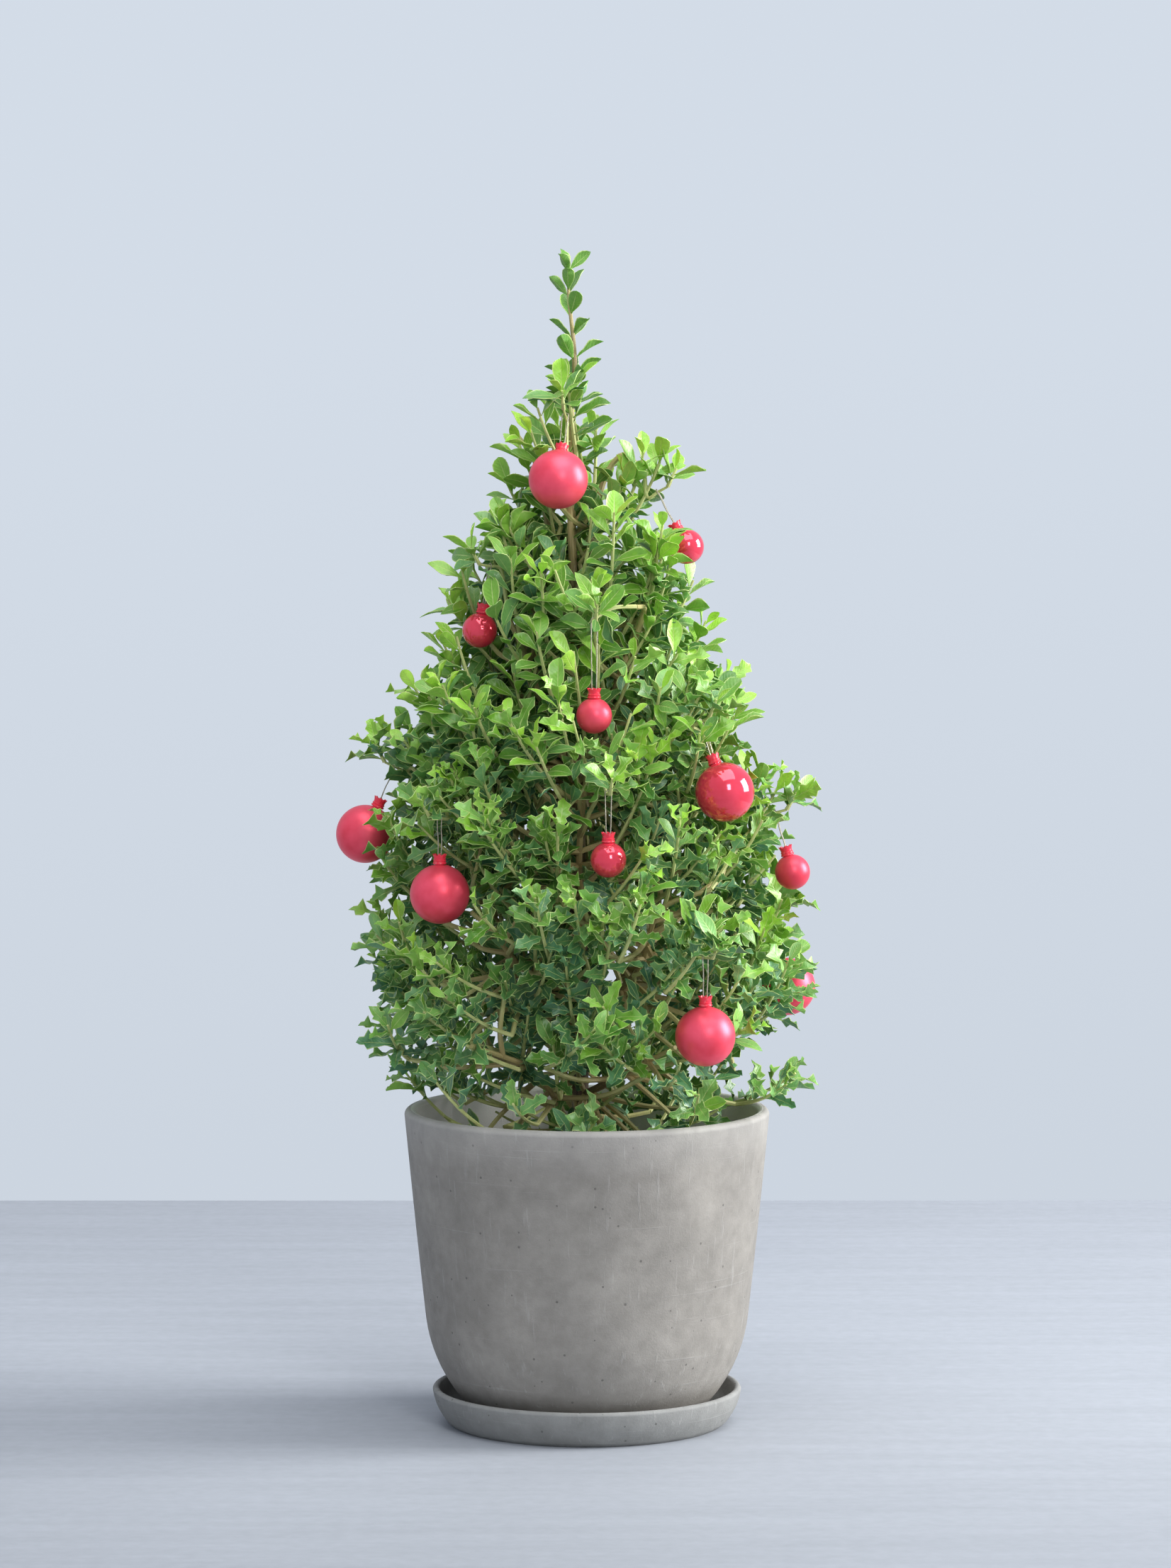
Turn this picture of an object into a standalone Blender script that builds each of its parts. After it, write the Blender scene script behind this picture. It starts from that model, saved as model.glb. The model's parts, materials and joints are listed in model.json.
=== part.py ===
"""Tabletop holly tree in a fibre-cement pot, hung with eleven baubles.

Metres, with +Z up. The origin is on the table, under the middle of the saucer. The pot
lifts off the saucer, and the tree with its weight lifts out of the pot. Each bauble
swings on its loop of wire, and the loop swings on its twig.

The leafy sprays are laid out about the trunk's own centreline: a tier is a ring of
sprays, each spray has an equal sector of its tier, and neighbouring tiers meet half-way
between their limbs. Pockets in the sprays leave room for the baubles to swing.
"""

import collections
import math

import bmesh
import bpy
from mathutils import Matrix, Vector

# Fits between pieces.
TOUCH_GAP = 0.0003  # between faces that meet
SPRAY_GAP = 0.0006  # between one leafy spray and the next
SWING_CLEARANCE = 0.0020  # left round a bauble at the end of its swing
WELD = 0.000001  # points closer than this are one point

# Pot, a turned shell with a rounded heel.
POT_RIM_R = 0.1295
POT_BASE_R = 0.0775
POT_HEIGHT = 0.2185
POT_WALL = 0.0085
POT_FLOOR = 0.012
POT_TAPER = 0.10  # radius that the straight side gains per height
POT_HEEL_R = 0.11

# Saucer, a shallow tray that the pot stands in.
SAUCER_HEIGHT = 0.026
SAUCER_FLOOR = 0.006
SAUCER_WALL = 0.005
SAUCER_GUTTER = 0.0095  # room between the pot and the lip
SAUCER_FLARE = 0.0105  # how much wider the lip is than the foot

# Weight and soil inside the pot.
PLUG_MARGIN = 0.0128  # room between the plug and the pot, on the pot's floor
PLUG_FLARE = 0.010
SOIL_BELOW_RIM = 0.038
SOIL_THICKNESS = 0.019
SOIL_EDGE = 0.0015  # room between the soil and the pot
SOIL_RIPPLE = 0.0012
STEM_CLEARANCE = 0.0012  # round each stem where it passes through the soil

# Trunk: a bark sleeve on a steel rod.
TREE_HEIGHT = 0.841
TRUNK_BASE_R = 0.0065
TRUNK_TOP_R = 0.0022
TRUNK_TOP_SHARE = 0.80  # of the crown's height
TRUNK_X = -0.005
TRUNK_DRIFT = -0.005  # how far the top stands off to the side of the foot
TRUNK_BOW = 0.002
CORE_R = 0.0025
CORE_TOP_SHARE = 0.36
CORE_COVER = 0.0289  # of the plug left under the rod
LEADER_STEM_R = 0.0018

# Crown outline: share of the crown's height, and share of its largest radius.
CROWN_R = 0.165
CROWN_LIFT = 0.0112  # from the pot's rim to the lowest limbs
CROWN_OUTLINE = (
    (0.00, 0.91),
    (0.10, 1.00),
    (0.30, 0.92),
    (0.45, 0.82),
    (0.60, 0.61),
    (0.75, 0.39),
    (0.86, 0.28),
    (0.93, 0.14),
    (1.00, 0.00),
)

# Tiers of sprays, from the pot up. Turns are in degrees about the trunk.
Tier = collections.namedtuple("Tier", "sprays first_turn foot_share tip_share")
TIERS = (
    Tier(5, 18.0, 0.000, 0.08),
    Tier(4, 45.0, 0.090, 0.27),
    Tier(4, 0.0, 0.210, 0.44),
    Tier(4, 45.0, 0.360, 0.62),
    Tier(3, 30.0, 0.540, 0.83),
)
BELOW_TIERS = Tier(1, 0.0, -0.012, -0.012)  # nothing hangs lower than this
ABOVE_TIERS = Tier(1, 0.0, 0.770, 0.93)  # the leader's own room
GROUND_SHOOTS = (1, 3)  # sprays of the lowest tier that rise from the soil
GROUND_STEM_R = 0.0022
GROUND_STEM_OUT = 0.018  # from the trunk's centre
GROUND_STEM_SINK = 0.028  # how deep the stem stands in the plug
LIMB_R = 0.003
LIMB_SWEEP = 1.25  # limbs curve upward as their reach to this power
LEAFLESS_SHARE = 0.12  # of a limb's length, next to the trunk

# Baubles. The ball has a short neck, the cap sits over it, and a ring in the cap
# holds the loop.
LARGE_BALL_R = 0.0208
SMALL_BALL_R = 0.0124
BALL_WALL = 0.0012
NECK_R = 0.0034
NECK_RISE = 0.003
CAP_R = 0.00475
CAP_HEIGHT = 0.007
CAP_WAIST = 0.0007  # how much narrower the cap is at its middle
CAP_WEB = 0.0008
CAP_CROWN_BORE_R = 0.0036
RING_R = 0.0013
RING_WIRE_R = 0.00045
RING_LIFT = 0.0011  # of the ring's centre over the web
LOOP_WIRE_R = 0.0004
LOOP_FOOT_R = 0.0016  # of the loop's lower bend
TWIG_R = 0.0015
TWIG_STRAIGHT = 0.007  # on each side of the loop
TWIG_SPLICE = 0.012  # how far a twig's root stands inside the pocket's wall
LOOP_SWING_DEG = 8.0
BALL_SWING_DEG = 10.0

# turn: degrees about the trunk; share: of the crown's height; sink: of the ball's
# centre inside the crown's outline; lean: of the loop towards the trunk, in degrees;
# loop: its length from the ring to the twig.
Bauble = collections.namedtuple("Bauble", "ball_r finish turn share sink lean loop")
BAUBLES = (
    Bauble(LARGE_BALL_R, "satin", -100.0, 0.719, 0.0190, 32.0, 0.026),
    Bauble(SMALL_BALL_R, "gloss", -8.5, 0.640, 0.0100, 28.0, 0.026),
    Bauble(SMALL_BALL_R, "gloss", -154.5, 0.544, 0.0405, 10.0, 0.028),
    Bauble(SMALL_BALL_R, "satin", -82.5, 0.451, 0.0390, 0.0, 0.048),
    Bauble(LARGE_BALL_R, "gloss", -39.5, 0.363, 0.0135, 24.0, 0.026),
    Bauble(LARGE_BALL_R, "satin", 179.5, 0.304, 0.0000, 24.0, 0.026),
    Bauble(SMALL_BALL_R, "gloss", -80.5, 0.290, 0.0320, 0.0, 0.028),
    Bauble(SMALL_BALL_R, "satin", -7.0, 0.262, 0.0035, 16.0, 0.026),
    Bauble(LARGE_BALL_R, "satin", -137.5, 0.247, 0.0240, 0.0, 0.026),
    Bauble(LARGE_BALL_R, "satin", 12.5, 0.119, 0.0135, 14.0, 0.026),
    Bauble(LARGE_BALL_R, "satin", -56.0, 0.091, 0.0115, 0.0, 0.028),
)

# How finely round shapes are divided.
POT_STEPS = 36
PLUG_STEPS = 20
SOIL_STEPS = 28
STEM_STEPS = 12
BALL_STEPS = 12
CAP_STEPS = 8
POCKET_STEPS = 10
SPRAY_AROUND = 10
SPRAY_ALONG = 9

# Base colour, roughness, metallic.
FINISHES = {
    "fibre_cement": ((0.47, 0.45, 0.42), 0.85, 0.0),
    "saucer_cement": ((0.42, 0.44, 0.42), 0.80, 0.0),
    "cast_cement": ((0.55, 0.54, 0.52), 0.90, 0.0),
    "soil": ((0.055, 0.040, 0.028), 0.95, 0.0),
    "steel": ((0.55, 0.55, 0.56), 0.35, 1.0),
    "bark": ((0.13, 0.085, 0.055), 0.80, 0.0),
    "leaf": ((0.10, 0.27, 0.05), 0.45, 0.0),
    "satin_red": ((0.60, 0.035, 0.060), 0.45, 0.0),
    "gloss_red": ((0.55, 0.015, 0.030), 0.08, 0.0),
    "cap_red": ((0.60, 0.060, 0.080), 0.40, 0.0),
    "hanger_wire": ((0.70, 0.66, 0.58), 0.50, 0.0),
}

POT_BASE_Z = SAUCER_FLOOR + TOUCH_GAP
POT_RIM_Z = POT_BASE_Z + POT_HEIGHT
PLUG_BASE_Z = POT_BASE_Z + POT_FLOOR + TOUCH_GAP
SOIL_TOP_Z = POT_RIM_Z - SOIL_BELOW_RIM
SOIL_BASE_Z = SOIL_TOP_Z - SOIL_THICKNESS
PLUG_TOP_Z = SOIL_BASE_Z - TOUCH_GAP
CORE_FOOT_Z = PLUG_BASE_Z + CORE_COVER
STEM_FOOT_Z = PLUG_TOP_Z + TOUCH_GAP
CROWN_BASE_Z = POT_RIM_Z + CROWN_LIFT


def finish_material(name):
    """The Principled material of this name, made on its first use."""
    found = bpy.data.materials.get(name)
    if found:
        return found
    colour, roughness, metallic = FINISHES[name]
    material = bpy.data.materials.new(name)
    material.use_nodes = True
    shader = material.node_tree.nodes["Principled BSDF"]
    shader.inputs["Base Color"].default_value = (*colour, 1.0)
    shader.inputs["Roughness"].default_value = roughness
    shader.inputs["Metallic"].default_value = metallic
    return material


def piece_from(bm, name, finish):
    """A scene object that holds this bmesh, shaded smooth with its creases sharp."""
    mesh = bpy.data.meshes.new(name)
    bm.to_mesh(mesh)
    bm.free()
    mesh.shade_smooth()
    mesh.set_sharp_from_angle(angle=math.radians(35))
    piece = bpy.data.objects.new(name, mesh)
    bpy.context.scene.collection.objects.link(piece)
    piece.data.materials.append(finish_material(finish))
    return piece


def make_helper(piece):
    """Marks a cutter or a guide, which isn't part of the model."""
    piece.hide_render = True
    piece.display_type = "WIRE"
    return piece


def arc_points(centre_r, centre_z, radius, start_deg, end_deg, count):
    """Points of an outline along an arc, its ends included."""
    points = []
    for i in range(count):
        angle = math.radians(start_deg + (end_deg - start_deg) * i / (count - 1))
        points.append((centre_r + radius * math.cos(angle), centre_z + radius * math.sin(angle)))
    return points


def turned_bmesh(outline, steps):
    """A closed round solid: an outline of (radius, height) spun about Z.

    An outline that starts and ends on the axis closes there, and any other is a loop.
    """
    bm = bmesh.new()
    verts = [bm.verts.new((radius, 0.0, height)) for radius, height in outline]
    edges = [bm.edges.new(pair) for pair in zip(verts, verts[1:])]
    if outline[0][0] > WELD:
        edges.append(bm.edges.new((verts[-1], verts[0])))
    bmesh.ops.spin(
        bm,
        geom=verts + edges,
        cent=(0.0, 0.0, 0.0),
        axis=(0.0, 0.0, 1.0),
        angle=2 * math.pi,
        steps=steps,
        use_merge=True,
    )
    bmesh.ops.remove_doubles(bm, verts=bm.verts, dist=WELD)
    bmesh.ops.recalc_face_normals(bm, faces=bm.faces)
    return bm


def turned(name, outline, steps, finish):
    return piece_from(turned_bmesh(outline, steps), name, finish)


def rod_cutter(name, radius, low_z, high_z, at, steps=STEM_STEPS):
    """A plain upright cylinder that cuts a hole."""
    cutter = turned(name, [(0.0, low_z), (radius, low_z), (radius, high_z), (0.0, high_z)], steps, "steel")
    cutter.location = (at[0], at[1], 0.0)
    return make_helper(cutter)


def add_boolean(piece, other, operation):
    modifier = piece.modifiers.new(other.name, "BOOLEAN")
    modifier.operation = operation
    modifier.solver = "EXACT"
    modifier.object = other


# ---- pot and saucer ----


def pot_heel():
    """Centre of the heel's arc, and the height where it meets the straight side."""
    length = math.hypot(POT_TAPER, 1.0)
    along = Vector((POT_TAPER, 1.0)) / length
    inward = Vector((-1.0, POT_TAPER)) / length
    side_foot = Vector((POT_RIM_R - POT_TAPER * POT_HEIGHT, 0.0))
    offset = side_foot - Vector((POT_BASE_R, 0.0))
    lead = offset.dot(along)
    rest = offset.length_squared + 2 * POT_HEEL_R * offset.dot(inward)
    run = -lead + math.sqrt(lead * lead - rest)
    meeting = side_foot + along * run
    return meeting + inward * POT_HEEL_R, meeting.y


def pot_radius(height, depth=0.0):
    """Radius of the pot's side at a height over its base, a depth inside its skin."""
    centre, meeting_height = pot_heel()
    slope = math.hypot(POT_TAPER, 1.0)
    if height >= meeting_height + depth * POT_TAPER / slope:
        return POT_RIM_R - POT_TAPER * (POT_HEIGHT - height) - depth * slope
    return centre.x + math.sqrt((POT_HEEL_R - depth) ** 2 - (height - centre.y) ** 2)


def pot_outline():
    lip_r = POT_WALL / 2
    lip_z = POT_HEIGHT - lip_r
    _, heel_top = pot_heel()
    outer_heights = [heel_top * share for share in (0.0, 0.12, 0.28, 0.5, 0.75, 1.0)]
    inner_top = max(heel_top, POT_FLOOR * 2)
    inner_heights = [POT_FLOOR + (inner_top - POT_FLOOR) * share for share in (1.0, 0.6, 0.3, 0.1, 0.0)]
    outline = [(0.0, 0.0)] + [(pot_radius(h), h) for h in outer_heights]
    outline += arc_points(POT_RIM_R - lip_r, lip_z, lip_r, 0, 180, 6)
    outline += [(pot_radius(h, POT_WALL), h) for h in inner_heights]
    outline.append((0.0, POT_FLOOR))
    return outline


def make_pot():
    pot = turned("pot", pot_outline(), POT_STEPS, "fibre_cement")
    pot.location.z = POT_BASE_Z
    return pot


def saucer_rim_r():
    """The lip is clear of the pot's side by the gutter."""
    return pot_radius(SAUCER_HEIGHT - POT_BASE_Z) + SAUCER_GUTTER + SAUCER_WALL


def saucer_outline():
    rim_r = saucer_rim_r()
    foot_r = rim_r - SAUCER_FLARE
    lip_r = SAUCER_WALL / 2
    side_mid = (foot_r + SAUCER_FLARE * 0.72, SAUCER_HEIGHT * 0.5)
    outline = [(0.0, 0.0), (foot_r - 0.002, 0.0), (foot_r + 0.0015, 0.003), side_mid]
    outline += arc_points(rim_r - lip_r, SAUCER_HEIGHT - lip_r, lip_r, 0, 180, 5)
    outline += [
        (side_mid[0] - SAUCER_WALL, side_mid[1] + 0.001),
        (foot_r - SAUCER_WALL * 0.7, SAUCER_FLOOR + 0.0015),
        (foot_r - SAUCER_WALL * 1.2, SAUCER_FLOOR),
        (0.0, SAUCER_FLOOR),
    ]
    return outline


def make_saucer():
    return turned("saucer", saucer_outline(), POT_STEPS, "saucer_cement")


# ---- places about the trunk ----


def crown_z(share):
    return CROWN_BASE_Z + share * (TREE_HEIGHT - CROWN_BASE_Z)


def crown_radius(share):
    """Radius of the crown's outline at a share of its height."""
    if share <= CROWN_OUTLINE[0][0]:
        return CROWN_R * CROWN_OUTLINE[0][1]
    for (low, low_r), (high, high_r) in zip(CROWN_OUTLINE, CROWN_OUTLINE[1:]):
        if share <= high:
            return CROWN_R * (low_r + (high_r - low_r) * (share - low) / (high - low))
    return 0.0


def trunk_centre(z):
    """Where the trunk's gently bent centreline is at this height."""
    share = max((z - STEM_FOOT_Z) / (TREE_HEIGHT - STEM_FOOT_Z), 0.0)
    bow = TRUNK_BOW * math.sin(2 * math.pi * share)
    return Vector((TRUNK_X + TRUNK_DRIFT * share + bow, -bow))


def trunk_radius(z):
    top_z = crown_z(TRUNK_TOP_SHARE)
    share = (z - STEM_FOOT_Z) / (top_z - STEM_FOOT_Z)
    return TRUNK_BASE_R + (TRUNK_TOP_R - TRUNK_BASE_R) * min(max(share, 0.0), 1.0)


def beside_trunk(radius, turn, z):
    """The point at a radius and a turn, in radians, about the trunk's centreline."""
    centre = trunk_centre(z)
    return Vector((centre.x + radius * math.cos(turn), centre.y + radius * math.sin(turn), z))


def round_trunk(point):
    """Radius, turn in radians and height of a point about the trunk's centreline."""
    centre = trunk_centre(point.z)
    x, y = point.x - centre.x, point.y - centre.y
    return math.hypot(x, y), math.atan2(y, x), point.z


def turned_on_trunk(name, outline, steps, finish):
    """A turned piece whose axis follows the trunk's centreline."""
    bm = turned_bmesh(outline, steps)
    for vert in bm.verts:
        centre = trunk_centre(vert.co.z)
        vert.co.x += centre.x
        vert.co.y += centre.y
    return piece_from(bm, name, finish)


def heights_between(low_z, high_z, spacing):
    count = max(round((high_z - low_z) / spacing), 1)
    return [low_z + (high_z - low_z) * i / count for i in range(count + 1)]


def make_trunk():
    """The bark sleeve, with a blind bore for the rod."""
    top_z = crown_z(TRUNK_TOP_SHARE)
    bore_top = crown_z(CORE_TOP_SHARE)
    bore_r = CORE_R + TOUCH_GAP
    outline = [(0.0, top_z)]
    outline += [(trunk_radius(z), z) for z in reversed(heights_between(STEM_FOOT_Z, top_z, 0.06))]
    outline += [(bore_r, z) for z in heights_between(STEM_FOOT_Z, bore_top, 0.06)]
    outline += [(0.0, bore_top)]
    return turned_on_trunk("trunk", outline, STEM_STEPS, "bark")


def make_trunk_core():
    low_z = CORE_FOOT_Z + TOUCH_GAP
    high_z = crown_z(CORE_TOP_SHARE) - TOUCH_GAP
    outline = [(0.0, low_z), (CORE_R, low_z)]
    outline += [(CORE_R, z) for z in heights_between(STEM_FOOT_Z, high_z, 0.06)]
    outline += [(0.0, high_z)]
    return turned_on_trunk("trunk_core", outline, STEM_STEPS, "steel")


def make_leader():
    """The topmost shoot, which stands on the end of the trunk."""
    foot_z = crown_z(TRUNK_TOP_SHARE) + TOUCH_GAP
    length = TREE_HEIGHT - foot_z
    leafy = ((0.16, 0.15), (0.28, 0.70), (0.45, 1.00), (0.65, 0.85), (0.85, 0.50), (0.96, 0.20))
    widest = crown_radius(0.93) * 0.6
    outline = [(0.0, foot_z), (LEADER_STEM_R, foot_z)]
    outline += [(max(LEADER_STEM_R, widest * width), foot_z + length * share) for share, width in leafy]
    outline += [(0.0, TREE_HEIGHT)]
    return turned_on_trunk("leader", outline, STEM_STEPS, "leaf")


def ground_stem_turns():
    lowest = TIERS[0]
    return [spray_turn(lowest, index) for index in GROUND_SHOOTS]


def make_weight_plug():
    base_r = pot_radius(POT_FLOOR, POT_WALL) - PLUG_MARGIN
    outline = [
        (0.0, PLUG_BASE_Z),
        (base_r, PLUG_BASE_Z),
        (base_r + PLUG_FLARE, PLUG_TOP_Z),
        (0.0, PLUG_TOP_Z),
    ]
    plug = turned("weight_plug", outline, PLUG_STEPS, "cast_cement")
    over = PLUG_TOP_Z + SOIL_THICKNESS / 2
    trunk_hole = rod_cutter("plug_rod_hole", CORE_R + TOUCH_GAP, CORE_FOOT_Z, over, trunk_centre(STEM_FOOT_Z))
    add_boolean(plug, trunk_hole, "DIFFERENCE")
    for number, turn in enumerate(ground_stem_turns(), 1):
        at = beside_trunk(GROUND_STEM_OUT, turn, PLUG_TOP_Z)
        low_z = PLUG_TOP_Z - GROUND_STEM_SINK
        hole = rod_cutter(f"plug_stem_hole_{number}", GROUND_STEM_R + TOUCH_GAP, low_z, over, at)
        add_boolean(plug, hole, "DIFFERENCE")
    return plug


def make_soil_cover():
    """The layer of growing medium over the plug, a little uneven on top."""
    radius = pot_radius(SOIL_BASE_Z - POT_BASE_Z, POT_WALL) - SOIL_EDGE
    outline = [(0.0, SOIL_BASE_Z), (radius, SOIL_BASE_Z), (radius, SOIL_TOP_Z)]
    outline += [(radius * share, SOIL_TOP_Z) for share in (0.72, 0.4)]
    outline += [(0.0, SOIL_TOP_Z)]
    bm = turned_bmesh(outline, SOIL_STEPS)
    for vert in bm.verts:
        reach = math.hypot(vert.co.x, vert.co.y) / radius
        if vert.co.z > SOIL_TOP_Z - WELD and 0.2 < reach < 0.9:
            turn = math.atan2(vert.co.y, vert.co.x)
            vert.co.z += SOIL_RIPPLE * math.sin(3 * turn + 5 * reach) * math.cos(2 * turn)
    soil = piece_from(bm, "soil_cover", "soil")
    low_z, high_z = SOIL_BASE_Z - SOIL_THICKNESS / 2, SOIL_TOP_Z + SOIL_THICKNESS
    hole_r = TRUNK_BASE_R + STEM_CLEARANCE
    trunk_hole = rod_cutter("soil_trunk_hole", hole_r, low_z, high_z, trunk_centre(SOIL_TOP_Z))
    add_boolean(soil, trunk_hole, "DIFFERENCE")
    for number, turn in enumerate(ground_stem_turns(), 1):
        at = beside_trunk(GROUND_STEM_OUT, turn, SOIL_TOP_Z)
        hole_r = GROUND_STEM_R + STEM_CLEARANCE
        stem_hole = rod_cutter(f"soil_stem_hole_{number}", hole_r, low_z, high_z, at)
        add_boolean(soil, stem_hole, "DIFFERENCE")
    return soil


# ---- leafy sprays ----


def spray_turn(tier, index):
    return math.radians(tier.first_turn + 360.0 * index / tier.sprays)


def limb_radius(tier):
    return min(LIMB_R, 0.6 * trunk_radius(crown_z(tier.foot_share)))


def limb_foot_radius(tier):
    """Where a limb starts: clear of the bark right across its own width."""
    bark_r = trunk_radius(crown_z(tier.foot_share))
    return bark_r + TOUCH_GAP + limb_radius(tier) ** 2 / (2 * bark_r)


def limb_point(tier, reach):
    """Radius and height of a tier's limbs at a share of their reach."""
    foot_r = limb_foot_radius(tier)
    foot_z = crown_z(tier.foot_share)
    tip_r = crown_radius(tier.tip_share)
    tip_z = crown_z(tier.tip_share)
    return Vector((foot_r + (tip_r - foot_r) * reach, foot_z + (tip_z - foot_z) * reach**LIMB_SWEEP))


def fullness(reach):
    """How much of its room a spray fills, from none on the bare limb to all of it."""
    leafy = (reach - LEAFLESS_SHARE) / (1.0 - LEAFLESS_SHARE)
    if not 0.0 < leafy < 1.0:
        return 0.0
    return math.sqrt(1.0 - abs(2.0 * leafy - 1.0) ** 3)


def reach_towards(level, neighbour, reach):
    """From a limb towards the next tier's, as far as the spray may reach."""
    tier = TIERS[level]
    across = limb_point(neighbour, reach) - limb_point(tier, reach)
    half = across.length * 0.5 * fullness(reach) - SPRAY_GAP
    return across.normalized() * max(half, limb_radius(tier))


# centre, up and down are (radius, height) pairs about the trunk.
Station = collections.namedtuple("Station", "centre up down fullness")


def spray_station(level, reach):
    below = TIERS[level - 1] if level else BELOW_TIERS
    above = TIERS[level + 1] if level + 1 < len(TIERS) else ABOVE_TIERS
    up = reach_towards(level, above, reach)
    down = reach_towards(level, below, reach)
    return Station(limb_point(TIERS[level], reach), up, down, fullness(reach))


def spray_stations(level):
    """Stations from the trunk to the tip, closer together where the shape turns."""
    reaches = [0.0, LEAFLESS_SHARE]
    for i in range(1, SPRAY_ALONG):
        leafy = 0.5 - 0.5 * math.cos(math.pi * i / SPRAY_ALONG)
        reaches.append(LEAFLESS_SHARE + (1.0 - LEAFLESS_SHARE) * leafy)
    reaches.append(1.0)
    return [spray_station(level, reach) for reach in reaches]


def ground_shoot_stations():
    """A stem out of the soil that bends over into a spray of the lowest tier."""
    foot_z = PLUG_TOP_Z - GROUND_STEM_SINK + TOUCH_GAP
    bend_z = crown_z(0.0) - 0.006
    upright = [(0.0, z, 0.0) for z in (foot_z, PLUG_TOP_Z, SOIL_TOP_Z, bend_z - 0.012)]
    upright += [(0.002, bend_z, 35.0), (0.008, bend_z + 0.006, 65.0)]
    stations = []
    for out, z, tilt_deg in upright:
        tilt = math.radians(tilt_deg)
        up = Vector((-math.cos(tilt), math.sin(tilt))) * GROUND_STEM_R
        stations.append(Station(Vector((GROUND_STEM_OUT + out, z)), up, -up, 0.0))
    return stations + [s for s in spray_stations(0)[2:] if s.centre.x > GROUND_STEM_OUT + 0.010]


def spray_point(station, around, turn, half_sector, stem_r):
    """A point of a spray's skin, at a share of a turn round one of its stations."""
    angle = 2 * math.pi * around
    side = station.up * math.sin(angle) if math.sin(angle) > 0 else -station.down * math.sin(angle)
    radius, z = station.centre + side
    room = radius * half_sector - SPRAY_GAP
    half_width = min(max(stem_r, room * station.fullness), room)
    return beside_trunk(radius, turn + math.cos(angle) * half_width / radius, z)


def spray_bmesh(stations, turn, half_sector, stem_r):
    """A grid rolled into a tube along the stations, with its two ends closed."""
    bm = bmesh.new()
    last = len(stations) - 1
    bmesh.ops.create_grid(bm, x_segments=SPRAY_AROUND, y_segments=last, size=0.5)
    for vert in bm.verts:
        around = (vert.co.x + 0.5) % 1.0
        station = stations[round((vert.co.y + 0.5) * last)]
        vert.co = spray_point(station, around, turn, half_sector, stem_r)
    bmesh.ops.remove_doubles(bm, verts=bm.verts, dist=WELD)
    bmesh.ops.holes_fill(bm, edges=[edge for edge in bm.edges if edge.is_boundary], sides=0)
    bmesh.ops.recalc_face_normals(bm, faces=bm.faces)
    return bm


def make_spray(name, level, index):
    tier = TIERS[level]
    from_ground = level == 0 and index in GROUND_SHOOTS
    stations = ground_shoot_stations() if from_ground else spray_stations(level)
    stem_r = GROUND_STEM_R if from_ground else limb_radius(tier)
    bm = spray_bmesh(stations, spray_turn(tier, index), math.pi / tier.sprays, stem_r)
    return piece_from(bm, name, "leaf")


def spray_names():
    """(level, index) of each spray, and its name."""
    names = {}
    branches = 0
    shoots = 0
    for level, tier in enumerate(TIERS):
        for index in range(tier.sprays):
            if level == 0 and index in GROUND_SHOOTS:
                shoots += 1
                names[level, index] = f"ground_shoot_{shoots}"
            else:
                branches += 1
                names[level, index] = f"branch_{branches:02d}"
    return names


def keep_part_at(piece, point):
    """Deletes offcuts: all of a mesh that isn't joined to its point nearest to this."""
    bm = bmesh.new()
    bm.from_mesh(piece.data)
    start = min(bm.verts, key=lambda vert: (vert.co - point).length_squared)
    kept = {start}
    to_follow = [start]
    while to_follow:
        vert = to_follow.pop()
        for edge in vert.link_edges:
            other = edge.other_vert(vert)
            if other not in kept:
                kept.add(other)
                to_follow.append(other)
    bmesh.ops.delete(bm, geom=[vert for vert in bm.verts if vert not in kept], context="VERTS")
    bm.to_mesh(piece.data)
    bm.free()


def apply_modifiers(piece):
    bpy.context.view_layer.update()
    graph = bpy.context.evaluated_depsgraph_get()
    shaped = bpy.data.meshes.new_from_object(piece.evaluated_get(graph))
    piece.modifiers.clear()
    piece.data = shaped


# ---- baubles ----


def eye_height(ball_r):
    """From the ball's centre to the foot of the loop, in the cap's ring."""
    return cap_seat(ball_r) + NECK_RISE + TOUCH_GAP + CAP_WEB + RING_LIFT


def cap_seat(ball_r):
    """From the ball's centre to the underside of the cap's skirt."""
    return math.sqrt(ball_r**2 - (NECK_R + TOUCH_GAP) ** 2) + TOUCH_GAP


def bauble_frame(bauble):
    """Axes of a bauble as it hangs: X along its twig, Y across the loop, Z up the loop."""
    turn = math.radians(bauble.turn)
    out = Vector((math.cos(turn), math.sin(turn), 0.0))
    up = Vector((0.0, 0.0, 1.0))
    lean = math.radians(bauble.lean)
    along_loop = up * math.cos(lean) - out * math.sin(lean)
    twig = out * math.cos(lean) + up * math.sin(lean)
    return Matrix((twig, up.cross(out), along_loop)).transposed()


def ball_centre(bauble):
    radius = crown_radius(bauble.share) - bauble.sink
    return beside_trunk(radius, math.radians(bauble.turn), crown_z(bauble.share))


def loop_foot(bauble):
    return ball_centre(bauble) + bauble_frame(bauble).col[2] * eye_height(bauble.ball_r)


def twig_pivot(bauble):
    return loop_foot(bauble) + bauble_frame(bauble).col[2] * bauble.loop


def ball_outline(ball_r):
    """A thin shell with an open neck, its centre at zero height."""
    inner_r = ball_r - BALL_WALL
    neck_bore = NECK_R - BALL_WALL
    outer_end = math.degrees(math.acos(NECK_R / ball_r))
    inner_end = math.degrees(math.acos(neck_bore / inner_r))
    neck_top = cap_seat(ball_r) + NECK_RISE
    outline = arc_points(0.0, 0.0, ball_r, -90, outer_end, 8)
    outline += [(NECK_R, neck_top), (neck_bore, neck_top)]
    outline += arc_points(0.0, 0.0, inner_r, inner_end, -90, 5)
    outline[0] = (0.0, -ball_r)
    outline[-1] = (0.0, -inner_r)
    return outline


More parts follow.
